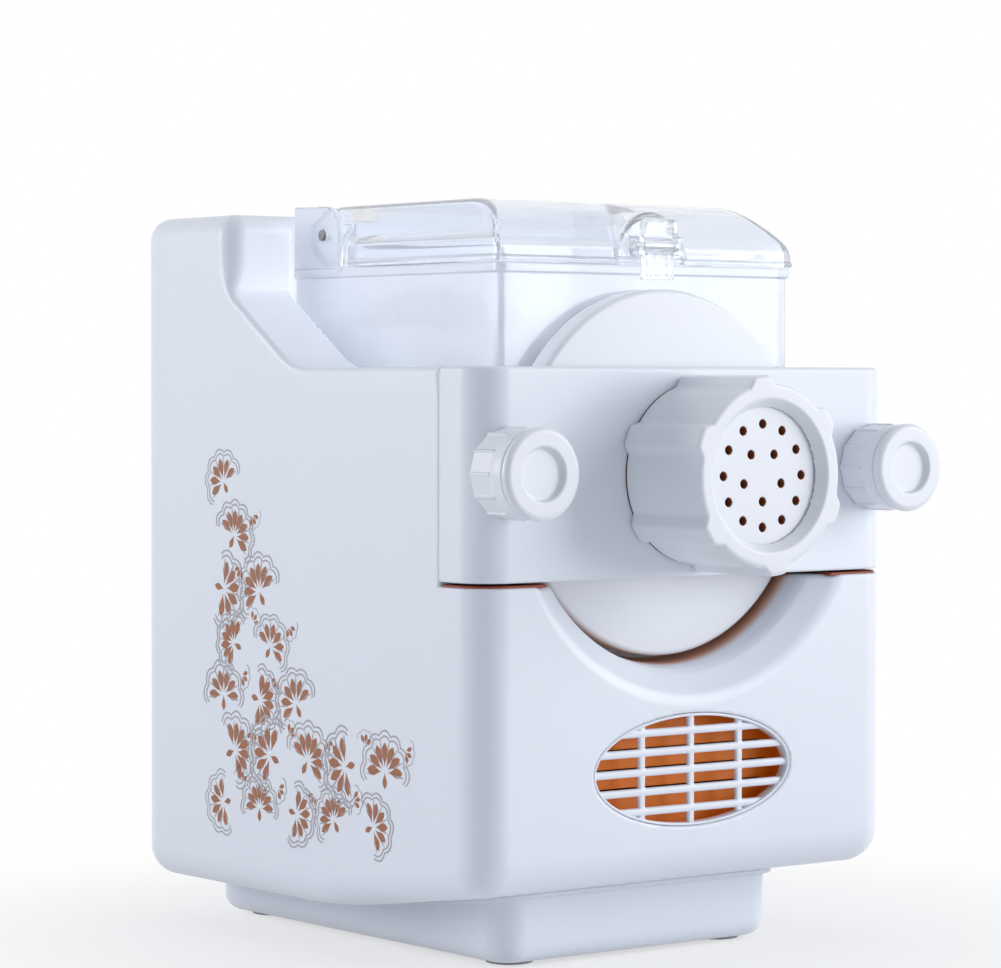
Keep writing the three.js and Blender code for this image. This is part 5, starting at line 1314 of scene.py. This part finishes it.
def seam_shade_strip(x, y, z):
    """A dark strip in the seam between the crossbar and the wall below it, set back from the outside, that
    paints shade into the seam.
    """
    height = slab(z, SEAT_TOP - STRIP_LOW, SEAT_TOP + STRIP_HIGH)
    plan = meet(body_plan(x, y) + STRIP_INSET, y - SEAT_Y + OVERLAP, height)
    return meet(plan, LIP_RADIUS + STRIP_CLEAR - length(x, z - AXIS))


def shade_liners():
    """A strip in the seam and a ring behind the nut, whose browns paint shade into those gaps."""
    low = SEAT_TOP - STRIP_LOW - STRIP_MARGIN
    high = SEAT_TOP + STRIP_HIGH + STRIP_MARGIN
    grid = [lines(-HALF_WIDTH, (HALF_WIDTH, STRIP_STEP)), lines(FRONT, (SEAT_Y + OVERLAP, STRIP_STEP)),
            lines(low, (high, STRIP_UP_STEP))]
    moulded("seam_shade_strip", seam_shade_strip, grid, "root", [], SEAM_SHADE)
    outer = NUT_RADIUS - RING_SETBACK
    rear = BAR_LOW[1]
    front = rear - RING_DEPTH
    profile = [(RING_BORE, front), (outer, front), (outer, rear), (RING_BORE, rear)]
    # A dark ring behind the nut that paints shade into the gap round its base
    turned("nut_shade_ring", profile, (0, 0, AXIS), "front_unit", [], GAP_SHADE)


def front_turnings():
    """The front disc with its seal groove, and the flanged barrel behind the die."""
    centre = (0, 0, AXIS)
    disc = DISC_HIGH[0]
    front, rear = DISC_LOW[1], DISC_HIGH[1]
    bore = BARREL_RADIUS + FIT
    groove_inner, groove_outer = SEAL_GROOVE
    groove_front = rear - SEAL_DEPTH
    turned("disc_turning",
           [(bore, front), *arc(disc - DISC_EDGE, front + DISC_EDGE, DISC_EDGE, -90, 0),
            *arc(disc - DISC_REAR_EDGE, rear - DISC_REAR_EDGE, DISC_REAR_EDGE, 0, 90, 3),
            (groove_outer, rear), (groove_outer, groove_front), (groove_inner, groove_front),
            (groove_inner, rear), (bore, rear)],
           centre, "front_unit", ["front_disc"], FITTING, sides=DISC_SIDES)
    end, tail = BARREL_LOW[1], BARREL_HIGH[1]
    flange = BARREL_HIGH[0]
    flange_rear = front - FIT
    flange_front = flange_rear - BARREL_FLANGE
    turned("barrel_turning",
           [(BARREL_BORE, end), *arc(BARREL_RADIUS - BARREL_EDGE, end + BARREL_EDGE, BARREL_EDGE, -90, 0, 4),
            (BARREL_RADIUS, flange_front), (flange, flange_front), (flange, flange_rear),
            (BARREL_RADIUS, flange_rear), (BARREL_RADIUS, tail), (BARREL_BORE, tail)],
           centre, "front_unit", ["extrusion_barrel"], FITTING)


def feet():
    """Round pads with a stud that goes into the base."""
    pad_top = BASE_BOTTOM - FIT / 2
    stud_top = BASE_BOTTOM + OVERLAP
    profile = [(0, 0), *arc(FOOT_RADIUS - FOOT_EDGE, FOOT_EDGE, FOOT_EDGE, -90, 0, 4), (FOOT_RADIUS, pad_top),
               (STUD_RADIUS, pad_top), (STUD_RADIUS, stud_top), (0, stud_top)]
    for corner in ("front_left", "front_right", "rear_left", "rear_right"):
        low, high = box_of(f"foot_{corner}")
        middle = ((low[0] + high[0]) / 2, (low[1] + high[1]) / 2, 0)
        turned(f"foot_{corner}_turning", profile, middle, "root", [f"foot_{corner}"], RUBBER, upright=True,
               sides=FOOT_SIDES)


def buttons():
    """Push buttons with a dished top, a skirt under the panel and a stem."""
    skirt_top = TOP - WALL - FIT
    skirt_low = skirt_top - SKIRT_HEIGHT
    dish_start, dish_depth = BUTTON_DISH_DROPS
    for i, (low, high) in enumerate(BUTTONS, 1):
        middle = ((low[0] + high[0]) / 2, PANEL_Y, 0)
        profile = [(0, low[2]), (STEM_RADIUS, low[2]), (STEM_RADIUS, skirt_low), (SKIRT_RADIUS, skirt_low),
                   (SKIRT_RADIUS, skirt_top), (BUTTON_RADIUS, skirt_top),
                   *arc(BUTTON_RADIUS - BUTTON_EDGE, high[2] - BUTTON_EDGE, BUTTON_EDGE, 0, 90),
                   (BUTTON_DISH, high[2] - dish_start), (0, high[2] - dish_depth)]
        turned(f"button_{i}_turning", profile, middle, f"button_{i}", [f"button_{i}"], FITTING, upright=True,
               sides=BUTTON_SIDES)


camera()
world()
floor()
for lamp_name, (lamp_place, lamp_aim, lamp_size, lamp_power) in LAMPS.items():
    area_light(lamp_name, lamp_place, lamp_aim, lamp_size, lamp_power)
finish_nodes()
mouldings()
front_turnings()
feet()
buttons()
shade_liners()
side_print()

bpy.context.scene.view_settings.view_transform = "Standard"
